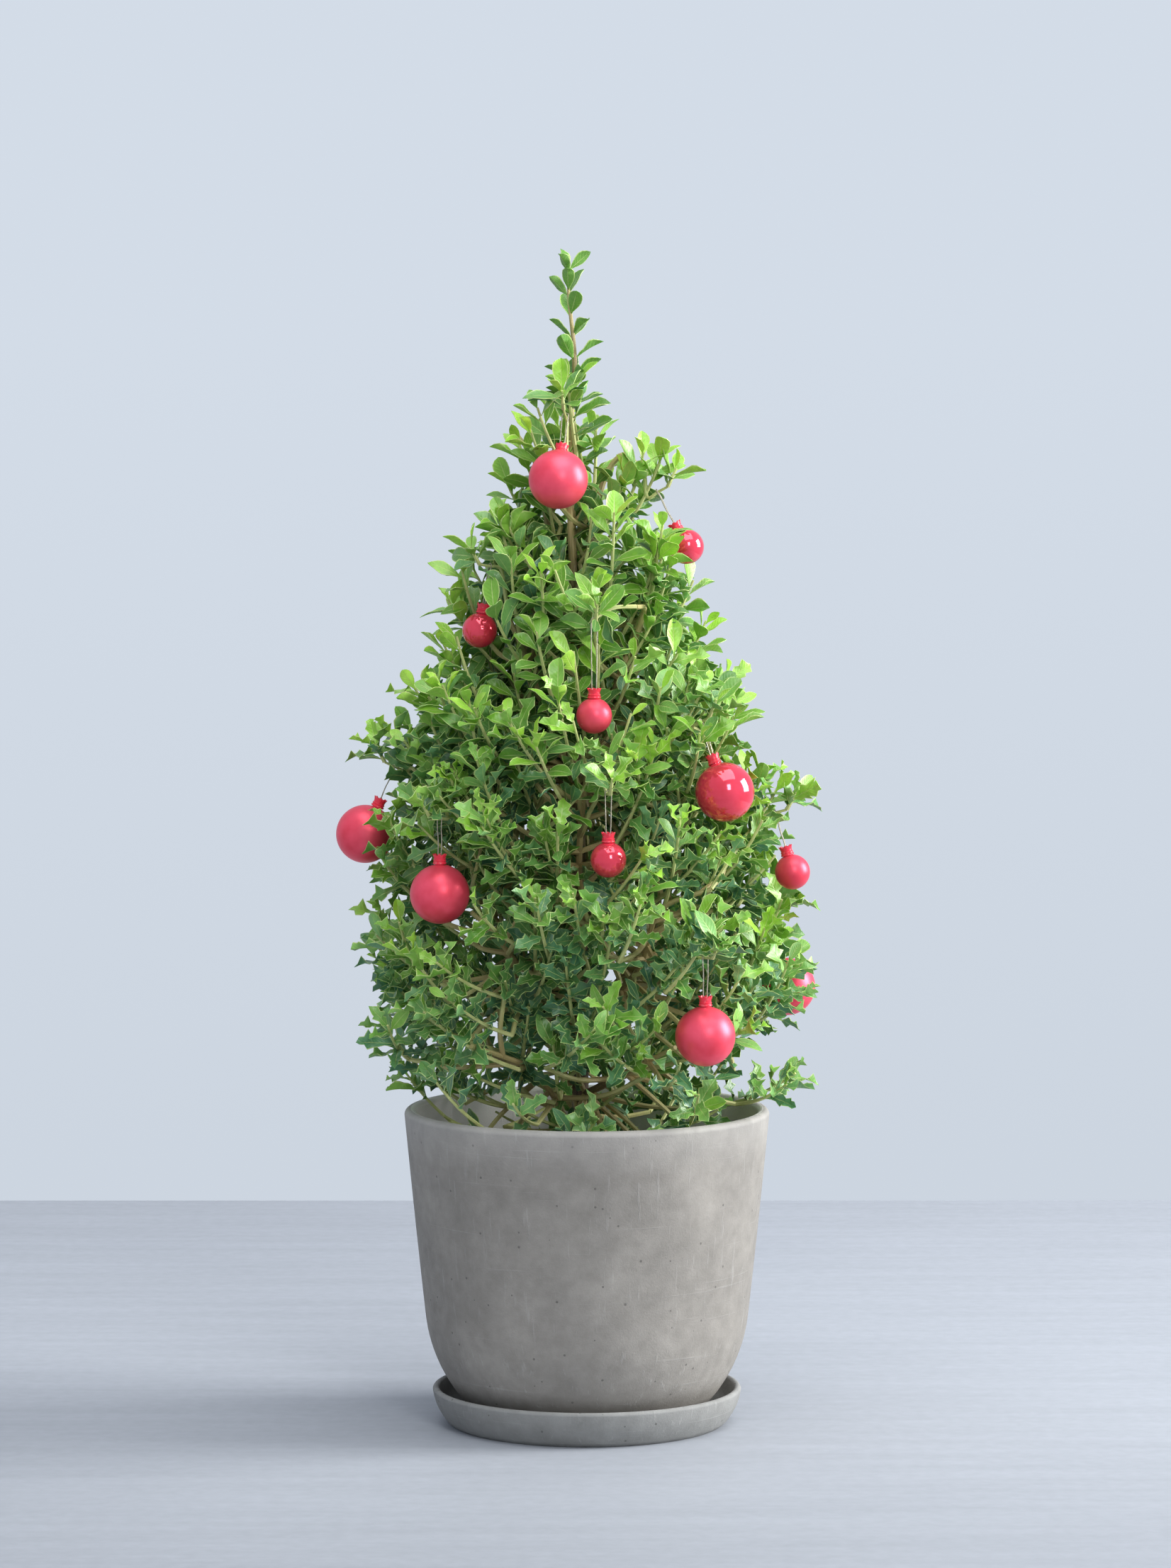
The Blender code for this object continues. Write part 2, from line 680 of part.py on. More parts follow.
def cap_outline():
    """The cap from the web's underside round its skirt and crown, its skirt at zero height."""
    bore_r = NECK_R + TOUCH_GAP
    web_z = NECK_RISE + TOUCH_GAP
    return [
        (0.0, web_z),
        (bore_r, web_z),
        (bore_r, 0.0),
        (CAP_R, 0.0),
        (CAP_R - CAP_WAIST, CAP_HEIGHT * 0.4),
        (CAP_R, CAP_HEIGHT),
        (CAP_CROWN_BORE_R, CAP_HEIGHT),
        (CAP_CROWN_BORE_R, web_z + CAP_WEB),
        (0.0, web_z + CAP_WEB),
    ]


def ring_bmesh():
    """The ring that the loop runs through: a small torus about Y."""
    bm = bmesh.new()
    bmesh.ops.create_circle(bm, segments=5, radius=RING_WIRE_R)
    bmesh.ops.translate(bm, verts=bm.verts, vec=(RING_R, 0.0, 0.0))
    bmesh.ops.spin(
        bm,
        geom=list(bm.verts) + list(bm.edges),
        cent=(0.0, 0.0, 0.0),
        axis=(0.0, 1.0, 0.0),
        angle=2 * math.pi,
        steps=8,
        use_merge=True,
    )
    bmesh.ops.remove_doubles(bm, verts=bm.verts, dist=WELD)
    bmesh.ops.recalc_face_normals(bm, faces=bm.faces)
    return bm


def loop_points(length):
    """The closed loop of wire in the YZ plane, round a twig at the origin."""
    top_r = TWIG_R + TOUCH_GAP + LOOP_WIRE_R
    top = arc_points(0.0, 0.0, top_r, 0, 180, 7)
    foot = arc_points(0.0, LOOP_FOOT_R - length, LOOP_FOOT_R, 180, 360, 7)
    return [Vector((0.0, y, z)) for y, z in top + foot]


def tube_curve(name, points, radius, closed, resolution, finish):
    """A round bar along straight runs between points, as a curve with filled ends."""
    curve = bpy.data.curves.new(name, "CURVE")
    curve.dimensions = "3D"
    curve.bevel_depth = radius
    curve.bevel_resolution = resolution
    curve.use_fill_caps = not closed
    spline = curve.splines.new("POLY")
    spline.points.add(len(points) - 1)
    for spot, point in zip(spline.points, points):
        spot.co = (*point, 1.0)
    spline.use_cyclic_u = closed
    piece = bpy.data.objects.new(name, curve)
    bpy.context.scene.collection.objects.link(piece)
    curve.materials.append(finish_material(finish))
    return piece


def make_empty(name, parent):
    empty = bpy.data.objects.new(name, None)
    empty.empty_display_size = 0.01
    bpy.context.scene.collection.objects.link(empty)
    empty.parent = parent
    return empty


def make_bauble(number, bauble):
    """Ball, cap and loop. The loop turns on its twig, the ball and cap on the loop."""
    name = f"bauble_{number:02d}"
    on_twig = make_empty(f"{name}_twig_pivot", None)
    on_twig.matrix_world = Matrix.Translation(twig_pivot(bauble)) @ bauble_frame(bauble).to_4x4()
    on_loop = make_empty(f"{name}_ball_pivot", on_twig)
    on_loop.location.z = -bauble.loop
    hanger = tube_curve(f"{name}_hanger", loop_points(bauble.loop), LOOP_WIRE_R, True, 0, "hanger_wire")
    hanger.parent = on_twig
    ball = turned(f"{name}_ball", ball_outline(bauble.ball_r), BALL_STEPS, f"{bauble.finish}_red")
    ball.parent = on_loop
    ball.location.z = -eye_height(bauble.ball_r)
    cap = turned(f"{name}_cap", cap_outline(), CAP_STEPS, "cap_red")
    cap.parent = on_loop
    cap.location.z = cap_seat(bauble.ball_r) - eye_height(bauble.ball_r)
    ring = make_helper(piece_from(ring_bmesh(), f"{name}_ring", "cap_red"))
    ring.parent = on_loop
    add_boolean(cap, ring, "UNION")


# ---- room for the baubles ----


def pocket_radius(bauble):
    """Of the space that the ball needs, whichever way it swings."""
    below_eye = eye_height(bauble.ball_r)
    sideways = (below_eye + bauble.loop) * math.sin(math.radians(LOOP_SWING_DEG))
    outwards = below_eye * math.sin(math.radians(BALL_SWING_DEG))
    return bauble.ball_r + math.hypot(sideways, outwards) + SWING_CLEARANCE


def make_pocket(number, bauble):
    """The cutter for one bauble: a ball for the bauble and a neck for its loop."""
    radius = pocket_radius(bauble)
    swing = bauble.loop * math.sin(math.radians(LOOP_SWING_DEG))
    neck_r = max(swing + CAP_R + SWING_CLEARANCE, TWIG_STRAIGHT + TWIG_R + SWING_CLEARANCE)
    shoulder = math.degrees(math.acos(neck_r / radius))
    top_z = eye_height(bauble.ball_r) + bauble.loop + TWIG_R + 4 * LOOP_WIRE_R + SWING_CLEARANCE
    outline = arc_points(0.0, 0.0, radius, -90, shoulder, 7) + [(neck_r, top_z), (0.0, top_z)]
    outline[0] = (0.0, -radius)
    pocket = make_helper(turned(f"pocket_{number:02d}", outline, POCKET_STEPS, "leaf"))
    pocket.matrix_world = Matrix.Translation(ball_centre(bauble)) @ bauble_frame(bauble).to_4x4()
    return pocket


def host_spray(bauble):
    """(level, index) of the spray in whose room the twig's pivot lies."""
    radius, turn, z = round_trunk(twig_pivot(bauble))

    def height_off(level):
        foot_r = limb_foot_radius(TIERS[level])
        tip_r = crown_radius(TIERS[level].tip_share)
        reach = min(max((radius - foot_r) / (tip_r - foot_r), 0.0), 1.0)
        return abs(limb_point(TIERS[level], reach).y - z)

    level = min(range(len(TIERS)), key=height_off)
    tier = TIERS[level]
    sector = 2 * math.pi / tier.sprays
    index = round((turn - math.radians(tier.first_turn)) / sector) % tier.sprays
    return level, index


def twig_points(bauble):
    """A twig from its tip, through the loop, to its root on the limb that carries it."""
    level, index = host_spray(bauble)
    tier = TIERS[level]
    pivot = twig_pivot(bauble)
    along = bauble_frame(bauble).col[0]
    ball_r_out, _, _ = round_trunk(ball_centre(bauble))
    root_r = ball_r_out - pocket_radius(bauble) - TWIG_SPLICE
    foot_r = limb_foot_radius(tier)
    reach = (root_r - foot_r) / (crown_radius(tier.tip_share) - foot_r)
    root = limb_point(tier, max(reach, LEAFLESS_SHARE))
    root_point = beside_trunk(root.x, spray_turn(tier, index), root.y)
    return [pivot + along * TWIG_STRAIGHT, pivot, pivot - along * TWIG_STRAIGHT, root_point]


def make_sprays():
    """Sprays with the pockets cut out of them and the bauble twigs added."""
    sprays = {key: make_spray(name, *key) for key, name in spray_names().items()}
    for number, bauble in enumerate(BAUBLES, 1):
        pocket = make_pocket(number, bauble)
        for spray in sprays.values():
            add_boolean(spray, pocket, "DIFFERENCE")
    for (level, index), spray in sprays.items():
        tier = TIERS[level]
        foot_r = 0.0 if level else GROUND_STEM_OUT
        foot = beside_trunk(foot_r, spray_turn(tier, index), crown_z(tier.foot_share))
        apply_modifiers(spray)
        keep_part_at(spray, foot)
    for number, bauble in enumerate(BAUBLES, 1):
        twig = make_twig(f"twig_{number:02d}", twig_points(bauble))
        add_boolean(sprays[host_spray(bauble)], twig, "UNION")


def make_twig(name, points):
    """A closed bar, as a mesh, which a Boolean can join to a spray."""
    guide = tube_curve(f"{name}_line", points, TWIG_R, False, 1, "bark")
    bpy.context.view_layer.update()
    graph = bpy.context.evaluated_depsgraph_get()
    twig = bpy.data.objects.new(name, bpy.data.meshes.new_from_object(guide.evaluated_get(graph)))
    bpy.context.scene.collection.objects.link(twig)
    bpy.data.objects.remove(guide)
    return make_helper(twig)


def main():
    for old in list(bpy.data.objects):
        bpy.data.objects.remove(old)
    make_saucer()
    make_pot()
    make_weight_plug()
    make_soil_cover()
    make_trunk_core()
    make_trunk()
    make_leader()
    make_sprays()
    for number, bauble in enumerate(BAUBLES, 1):
        make_bauble(number, bauble)


if __name__ == "__main__":
    main()
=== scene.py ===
"""Looks of a tabletop holly tree in a fibre-cement pot, hung with red baubles.

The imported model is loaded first, and every piece takes its place from it: leafy shoots
fill the room of each branch, the wood follows the trunk, and the baubles hang from the
joints that they swing on. Laid out as an add-on, and run as a script.
"""

import json
import math
import random

import bmesh
import bpy
from bpy.props import FloatProperty, FloatVectorProperty, IntProperty, PointerProperty
from mathutils import Matrix, Vector, noise
from mathutils.bvhtree import BVHTree


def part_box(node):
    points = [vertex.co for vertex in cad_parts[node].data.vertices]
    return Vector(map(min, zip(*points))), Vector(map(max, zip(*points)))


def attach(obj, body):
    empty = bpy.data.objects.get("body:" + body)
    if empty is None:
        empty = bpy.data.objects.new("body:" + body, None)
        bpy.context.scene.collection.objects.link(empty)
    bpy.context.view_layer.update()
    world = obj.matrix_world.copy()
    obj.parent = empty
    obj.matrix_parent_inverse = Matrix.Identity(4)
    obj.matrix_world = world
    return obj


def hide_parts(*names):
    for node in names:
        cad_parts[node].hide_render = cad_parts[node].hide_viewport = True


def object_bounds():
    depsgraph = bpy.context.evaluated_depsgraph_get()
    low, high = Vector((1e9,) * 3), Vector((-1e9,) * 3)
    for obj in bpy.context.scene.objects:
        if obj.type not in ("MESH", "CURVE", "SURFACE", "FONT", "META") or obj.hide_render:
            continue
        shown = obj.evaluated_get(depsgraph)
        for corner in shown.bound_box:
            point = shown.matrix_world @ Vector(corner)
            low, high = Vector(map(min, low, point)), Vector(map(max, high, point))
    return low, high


bl_info = {
    "name": "Tabletop Holly Tree",
    "version": (1, 0, 0),
    "blender": (4, 5, 0),
    "location": "3D View > Sidebar > Holly Tree",
    "description": "Builds the leaves, wood, pot and baubles of a small decorated holly tree",
    "category": "Add Mesh",
}

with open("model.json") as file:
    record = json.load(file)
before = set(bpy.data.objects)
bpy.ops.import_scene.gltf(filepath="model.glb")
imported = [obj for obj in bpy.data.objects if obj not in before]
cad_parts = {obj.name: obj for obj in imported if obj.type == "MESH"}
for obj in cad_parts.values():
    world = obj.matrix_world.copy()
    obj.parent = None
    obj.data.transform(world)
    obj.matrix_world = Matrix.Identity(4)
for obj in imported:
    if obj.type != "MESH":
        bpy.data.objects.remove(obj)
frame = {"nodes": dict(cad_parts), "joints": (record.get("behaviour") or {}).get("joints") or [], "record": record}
CAD_BOUNDS = [list(corner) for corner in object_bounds()]
NODES = frame["nodes"]
JOINTS = {joint["name"]: joint for joint in frame["joints"]}

UP = Vector((0.0, 0.0, 1.0))
BACK = Vector((0.0, 1.0, 0.0))
FULL_TURN = 2 * math.pi
WELD = 0.000001
GOLDEN_TURN = math.radians(137.5)
ROUND_STEPS = 160  # sides of a turned piece


# ---- settings ----


def a_length(name, description, default):
    return FloatProperty(name=name, description=description, default=default, unit="LENGTH")


def a_number(name, description, default):
    return FloatProperty(name=name, description=description, default=default)


def a_count(name, description, default):
    return IntProperty(name=name, description=description, default=default)


def a_colour(name, description, *default):
    return FloatVectorProperty(
        name=name, description=description, subtype="COLOR", size=4, default=(*default, 1.0)
    )


class FoliageSettings(bpy.types.PropertyGroup):
    """Leaves and shoots."""

    shoots_per_litre: a_number(
        "Shoots per litre", "How many leafy shoots fill a litre of a branch's room", 22.0
    )
    fuller_at_top: a_number(
        "Fuller at the top", "How much closer together the top's shoots are than the rim's", 2.1
    )
    leaf_length: a_length("Leaf length", "Length of a full-grown leaf", 0.0268)
    leaf_width: a_length("Leaf width", "Width of a full-grown leaf", 0.0130)
    leaf_thickness: a_length("Leaf thickness", "Thickness of a leaf", 0.0004)
    shoot_length: a_length("Shoot length", "Length of a leafy shoot", 0.072)
    leaf_spacing: a_length("Leaf spacing", "From one leaf to the next along a shoot", 0.0042)
    spiny_below: a_length(
        "Spiny below", "Height at which half of the leaves have spines, more below it", 0.50
    )
    seed: a_count("Seed", "Start of the random draws", 41)
    mature_green: a_colour("Mature green", "Upper side of an old leaf", 0.125, 0.325, 0.034)
    shade_green: a_colour("Shade green", "Bluish green of some inner leaves", 0.090, 0.265, 0.125)
    young_green: a_colour("Young green", "Leaves at the shoot tips", 0.350, 0.640, 0.045)
    margin_green: a_colour("Margin green", "Leaf edges and midribs", 0.560, 0.700, 0.240)


class WoodSettings(bpy.types.PropertyGroup):
    """Trunk, limbs and twigs."""

    bark_relief: a_length("Bark relief", "Depth of the bark's ridges", 0.0005)
    limb_radius: a_length("Limb radius", "Radius of a branch's limb at the trunk", 0.0030)
    twig_radius: a_length("Twig radius", "Radius of a twig at its root", 0.0016)
    bark_brown: a_colour("Bark brown", "Colour of old bark", 0.170, 0.100, 0.055)
    green_wood: a_colour("Green wood", "Colour of young stems", 0.58, 0.62, 0.25)


class BaubleSettings(bpy.types.PropertyGroup):
    """Balls, caps and wire loops."""

    cap_scallops: a_count("Cap scallops", "Points round the crown of a cap", 8)
    scallop_depth: a_length("Scallop depth", "Depth of a cap's scallops", 0.0011)
    satin_red: a_colour("Satin red", "Colour of the satin balls", 1.0, 0.060, 0.105)
    gloss_red: a_colour("Gloss red", "Colour of the shiny balls", 1.0, 0.040, 0.080)


class PotSettings(bpy.types.PropertyGroup):
    """Pot, saucer and soil."""

    cement_grey: a_colour("Cement grey", "Mean colour of the pot", 0.282, 0.263, 0.235)
    saucer_grey: a_colour("Saucer grey", "Mean colour of the saucer", 0.262, 0.262, 0.250)
    weight_grey: a_colour("Weight grey", "Colour of the weight in the pot", 0.42, 0.41, 0.39)
    crumbs: a_count("Crumbs", "Loose crumbs on the soil", 420)


class StageSettings(bpy.types.PropertyGroup):
    """Floor, light and camera."""

    camera_distance: a_length("Camera distance", "From the camera to the trunk", 3.6)
    camera_height: a_length("Camera height", "Of the camera over the floor", 0.705)
    camera_pitch: FloatProperty(
        name="Camera pitch",
        description="How far the camera looks down",
        default=math.radians(3.97),
        subtype="ANGLE",
    )
    camera_lens: a_number("Lens", "Focal length in millimetres", 117.1)
    floor_reach: a_length("Floor reach", "From the tree to each edge of the floor", 1.04)
    floor_colour: a_colour("Floor", "Colour of the floor", 0.400, 0.424, 0.462)
    wall_colour: a_colour("Wall", "Colour behind the tree", 0.652, 0.716, 0.802)


# ---- meshes ----


def finished_piece(name, bm, material, body, replaced=(), smooth_deg=40.0):
    """An object from a bmesh whose place is already in its points, riding on a body."""
    mesh = bpy.data.meshes.new(name)
    bm.to_mesh(mesh)
    bm.free()
    mesh.shade_smooth()
    mesh.set_sharp_from_angle(angle=math.radians(smooth_deg))
    for each in material if isinstance(material, (list, tuple)) else [material]:
        mesh.materials.append(each)
    piece = bpy.data.objects.new(name, mesh)
    bpy.context.scene.collection.objects.link(piece)
    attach(piece, body)
    if replaced:
        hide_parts(*replaced)
    return piece


def lathe(outline, steps, at=None):
    """A closed round solid from an outline of (radius, height) points spun about Z."""
    bm = bmesh.new()
    verts = [bm.verts.new((radius, 0.0, height)) for radius, height in outline]
    edges = [bm.edges.new(pair) for pair in zip(verts, verts[1:])]
    if outline[0][0] > WELD:
        edges.append(bm.edges.new((verts[-1], verts[0])))
    bmesh.ops.spin(
        bm,
        geom=verts + edges,
        cent=(0.0, 0.0, 0.0),
        axis=UP,
        angle=FULL_TURN,
        steps=steps,
        use_merge=True,
    )
    bmesh.ops.remove_doubles(bm, verts=bm.verts, dist=WELD)
    bmesh.ops.recalc_face_normals(bm, faces=bm.faces)
    if at is not None:
        bmesh.ops.transform(bm, matrix=at, verts=bm.verts)
    return bm


def path_frames(points):
    """(point, side, other side) at each point, with the least twist between them."""
    frames = []
    tangent = (points[1] - points[0]).normalized()
    side = tangent.orthogonal().normalized()
    for i, point in enumerate(points):
        before = points[max(i - 1, 0)]
        after = points[min(i + 1, len(points) - 1)]
        tangent = (after - before).normalized()
        side = (side - tangent * side.dot(tangent)).normalized()
        frames.append((point, side, tangent.cross(side)))
    return frames


def add_tube(bm, points, radii, sides, closed=False):
    """Adds a round bar along points: a grid rolled up, its ends closed. Returns its points."""
    frames = path_frames(points + points[:2])[: len(points)] if closed else path_frames(points)
    if closed:
        frames.append(frames[0])
        radii = [*radii, radii[0]]
    last = len(frames) - 1
    made = bmesh.ops.create_grid(bm, x_segments=sides, y_segments=last, size=0.5)["verts"]
    for vert in made:
        angle = FULL_TURN * (vert.co.x + 0.5)
        index = round((vert.co.y + 0.5) * last)
        point, side, other = frames[index]
        vert.co = point + (side * math.cos(angle) + other * math.sin(angle)) * radii[index]
    bmesh.ops.remove_doubles(bm, verts=made, dist=WELD)
    made = [vert for vert in made if vert.is_valid]
    rim = {edge for vert in made for edge in vert.link_edges if edge.is_boundary}
    if rim:
        bmesh.ops.holes_fill(bm, edges=list(rim), sides=0)
    faces = {face for vert in made for face in vert.link_faces}
    bmesh.ops.recalc_face_normals(bm, faces=list(faces))
    return made


def empty_bmesh(*layer_names):
    """A bmesh whose points carry these named numbers, for the materials to read."""
    bm = bmesh.new()
    for name in layer_names:
        bm.verts.layers.float.new(name)
    return bm


def curve_through(points, per_span=4):
    """Points on a smooth curve through the given ones, without overshoot on short spans."""
    last = len(points) - 1
    befores, afters = [points[0], *points[:-1]], [*points[1:], points[-1]]
    ways = [(after - before).normalized() for before, after in zip(befores, afters)]
    smooth = []
    for i in range(last):
        first, second = points[i], points[i + 1]
        pull = (second - first).length
        for step in range(per_span):
            t = step / per_span
            smooth.append(
                first * (2 * t**3 - 3 * t**2 + 1)
                + ways[i] * pull * (t**3 - 2 * t**2 + t)
                + second * (3 * t**2 - 2 * t**3)
                + ways[i + 1] * pull * (t**3 - t**2)
            )
    smooth.append(points[-1].copy())
    return smooth


# ---- material helpers ----


class Nodes:
    """A node tree, with short ways to add and join nodes."""

    def __init__(self, tree):
        self.tree = tree

    def node(self, kind, **settings):
        made = self.tree.nodes.new(kind)
        for key, value in settings.items():
            setattr(made, key, value)
        return made

    def join(self, out_socket, in_socket):
        self.tree.links.new(out_socket, in_socket)

    def feed(self, socket, value):
        """Gives a socket a number, a colour, or what another node puts out."""
        if isinstance(value, bpy.types.NodeSocket):
            self.join(value, socket)
        elif isinstance(value, (int, float)):
            socket.default_value = value
        else:
            socket.default_value = value if len(value) == 4 else (*value, 1.0)

    def place(self, name="Object"):
        return self.node("ShaderNodeTexCoord").outputs[name]

    def stretched(self, scale):
        mapping = self.node("ShaderNodeMapping")
        mapping.inputs["Scale"].default_value = scale
        self.join(self.place(), mapping.inputs["Vector"])
        return mapping.outputs["Vector"]

    def noise(self, scale, detail=3.0, roughness=0.5, where=None):
        made = self.node("ShaderNodeTexNoise")
        for name, value in (("Scale", scale), ("Detail", detail), ("Roughness", roughness)):
            made.inputs[name].default_value = value
        self.join(where or self.place(), made.inputs["Vector"])
        return made.outputs["Fac"]

    def reading(self, name):
        return self.node("ShaderNodeAttribute", attribute_name=name).outputs["Fac"]

    def ramp(self, factor, *stops):
        """A colour that changes with the factor. A stop is its position and its colour."""
        made = self.node("ShaderNodeValToRGB")
        elements = made.color_ramp.elements
        while len(elements) < len(stops):
            elements.new(0.5)
        for element, (position, colour) in zip(elements, stops):
            element.position = position
            element.color = colour if len(colour) == 4 else (*colour, 1.0)
        self.join(factor, made.inputs["Fac"])
        return made.outputs["Color"]

    def grey_ramp(self, factor, low, high):
        """Darkens or lightens by a factor between these two multipliers."""
        return self.ramp(factor, (0.3, (low,) * 3), (0.7, (high,) * 3))

    def between(self, factor, low, high):
        """0 to 1 as the factor goes from low to high, held at the ends."""
        made = self.node("ShaderNodeMapRange", clamp=True)
        made.inputs["From Min"].default_value = low
        made.inputs["From Max"].default_value = high
        self.join(factor, made.inputs["Value"])
        return made.outputs["Result"]

    def math(self, operation, first, second=0.0):
        made = self.node("ShaderNodeMath", operation=operation)
        self.feed(made.inputs[0], first)
        self.feed(made.inputs[1], second)
        return made.outputs["Value"]

    def scaled(self, factor, by):
        return self.math("MULTIPLY", factor, by)

    def mix(self, factor, first, second, blend="MIX"):
        made = self.node("ShaderNodeMix", data_type="RGBA", blend_type=blend)
        self.feed(made.inputs["Factor"], factor)
        self.feed(made.inputs[6], first)
        self.feed(made.inputs[7], second)
        return made.outputs[2]

    def times(self, first, second, share=1.0):
        """One colour darkened by another."""
        return self.mix(share, first, second, "MULTIPLY")


class Shading(Nodes):
    """One material, built from its name on."""

    def __init__(self, name):
        self.material = bpy.data.materials.new(name)
        self.material.use_nodes = True
        super().__init__(self.material.node_tree)
        self.shader = self.tree.nodes["Principled BSDF"]

    def speckle(self, scale, size, share):
        """A mask of scattered dots from the shared group."""
        made = self.node("ShaderNodeGroup", node_tree=speckle_group())
        for name, value in (("Scale", scale), ("Size", size), ("Share", share)):
            made.inputs[name].default_value = value
        return made.outputs["Mask"]

    def bump(self, height, distance, strength=1.0):
        made = self.node("ShaderNodeBump")
        made.inputs["Distance"].default_value = distance
        made.inputs["Strength"].default_value = strength
        self.join(height, made.inputs["Height"])
        self.join(made.outputs["Normal"], self.shader.inputs["Normal"])

    def colour(self, socket):
        self.join(socket, self.shader.inputs["Base Color"])

    def roughness(self, value):
        self.feed(self.shader.inputs["Roughness"], value)

    def finish(self, **constants):
        """Sets the shader's own sockets that are the same all over, and returns the material."""
        for name, value in constants.items():
            self.shader.inputs[name.replace("_", " ")].default_value = value
        return self.material


def speckle_group():
    """Small dots scattered over a surface, as a mask. Cement and red paint both use it."""
    tree = bpy.data.node_groups.get("Speckle")
    if tree:
        return tree
    tree = bpy.data.node_groups.new("Speckle", "ShaderNodeTree")
    for label, default in (("Scale", 100.0), ("Size", 0.12), ("Share", 0.3)):
        socket = tree.interface.new_socket(label, in_out="INPUT", socket_type="NodeSocketFloat")
        socket.default_value = default
    tree.interface.new_socket("Mask", in_out="OUTPUT", socket_type="NodeSocketFloat")
    n = Nodes(tree)
    given = n.node("NodeGroupInput").outputs
    cells = n.node("ShaderNodeTexVoronoi")
    n.join(n.place(), cells.inputs["Vector"])
    n.join(given["Scale"], cells.inputs["Scale"])
    apart = n.node("ShaderNodeSeparateColor")
    n.join(cells.outputs["Color"], apart.inputs["Color"])
    near = n.math("LESS_THAN", cells.outputs["Distance"], given["Size"])
    chosen = n.math("LESS_THAN", apart.outputs["Red"], given["Share"])
    n.join(n.math("MULTIPLY", near, chosen), n.node("NodeGroupOutput").inputs["Mask"])
    return tree


# ---- materials ----


def leaf_material(settings):
    """Waxy leaf: tone by leaf, bright when young, painted light and shade by leaf, with a pale margin and midrib.
    """
    s = Shading("holly leaf")
    age, under, along = s.reading("age"), s.reading("under"), s.reading("along")
    # High tones take the bluish shade green: partly each leaf's own random tone, partly painted shade, as lower
    # leaves get higher tones.
    in_shade = s.between(s.reading("tone"), 0.40, 0.90)
    greens = s.mix(in_shade, settings.mature_green, settings.shade_green)
    greens = s.mix(s.between(age, 0.0, 1.0), greens, settings.young_green)
    # Painted light and shade: each leaf is painted darker or brighter by its shade value, set by how much light it
    # would get.
    darkest, even, brightest = (0.52, 0.52, 0.54), (1.02, 1.0, 1.02), (1.42, 1.36, 1.3)
    painted_light_and_shade = s.ramp(s.reading("shade"), (0.0, darkest), (0.5, even), (1.0, brightest))
    greens = s.times(greens, painted_light_and_shade)
    mottle = s.ramp(s.noise(230.0, 3.0), (0.3, (0.82, 0.86, 0.80)), (0.7, (1.12, 1.08, 1.05)))
    greens = s.times(greens, mottle, 0.8)
    greens = s.mix(s.scaled(under, 0.8), greens, s.times(greens, (1.5, 1.35, 1.7)))
    off_middle = s.math("ABSOLUTE", s.reading("across"))
    rib_width = s.scaled(s.math("SUBTRACT", 1.15, along), 0.11)
    off_rib = s.between(s.math("DIVIDE", off_middle, rib_width), 0.5, 1.2)
    on_rib = s.math("SUBTRACT", 1.0, off_rib)
    on_margin = s.between(off_middle, 0.84, 0.97)
    lines = s.math("MAXIMUM", s.scaled(on_rib, 0.55), s.scaled(on_margin, 0.85))
    line_colour = s.mix(s.between(age, 0.2, 1.0), settings.margin_green, (0.56, 0.66, 0.16))
    s.colour(s.mix(lines, greens, line_colour))
    veins = s.math("SINE", s.math("SUBTRACT", s.scaled(along, 52.0), s.scaled(off_middle, 12.0)))
    height = s.math("ADD", s.scaled(veins, 0.35), s.noise(500.0, 2.0))
    s.bump(s.math("SUBTRACT", height, s.scaled(on_rib, 1.6)), 0.00025, 0.5)
    s.roughness(s.between(s.math("ADD", under, s.scaled(s.noise(90.0), 0.5)), -1.6, 3.2))
    return s.finish(Specular_IOR_Level=0.42, Coat_Roughness=0.28, Coat_Weight=0.32)


def bark_material(settings):
    """Brown ridged bark that turns to smooth green wood on the young stems."""
    s = Shading("holly bark")
    tint = s.reading("tint")
    ridges = s.noise(1.0, 6.0, 0.65, s.stretched((900.0, 900.0, 130.0)))
    groove, ridge = (0.035, 0.022, 0.013), (0.25, 0.19, 0.115)
    browns = s.ramp(ridges, (0.30, groove), (0.55, settings.bark_brown), (0.78, ridge))
    lichen = s.between(s.noise(60.0, 3.0), 0.52, 0.66)
    browns = s.mix(s.scaled(lichen, 0.45), browns, (0.20, 0.22, 0.12))
    tans = s.mix(s.between(tint, 0.03, 0.30), browns, (0.47, 0.37, 0.16))
    greens = s.ramp(s.noise(160.0, 3.0), (0.3, (0.42, 0.45, 0.16)), (0.7, settings.green_wood))
    s.colour(s.mix(s.between(tint, 0.35, 0.8), tans, greens))
    s.roughness(s.between(tint, -1.9, 2.6))
    s.bump(s.math("MULTIPLY", ridges, s.math("SUBTRACT", 1.15, tint)), 0.0006, 0.8)
    return s.finish()


def bauble_material(name, colour, glossy):
    """Red plastic: clear-lacquered, or satin with a pearly bloom."""
    s = Shading(name)
    red, green, blue = colour[:3]
    cloud = s.noise(55.0, 3.0)
    deep = (red * 0.82, green * 0.82, blue * 0.82)
    light = (min(red * 1.12, 1.0), green * 1.5 + 0.01, blue * 1.5 + 0.01)
    shade = s.ramp(cloud, (0.3, deep), (0.7, light))
    s.colour(s.mix(s.scaled(s.speckle(260.0, 0.16, 0.02), 0.35), shade, (0.9, 0.55, 0.5)))
    if glossy:
        s.roughness(s.between(cloud, -1.2, 14.0))
        s.bump(cloud, 0.00004, 0.15)
        return s.finish(Metallic=0.4, Coat_Weight=0.6, Coat_Roughness=0.025)
    s.roughness(s.between(cloud, -2.6, 5.4))
    s.bump(s.noise(1800.0, 2.0), 0.00003, 0.35)
    return s.finish(Metallic=0.35)


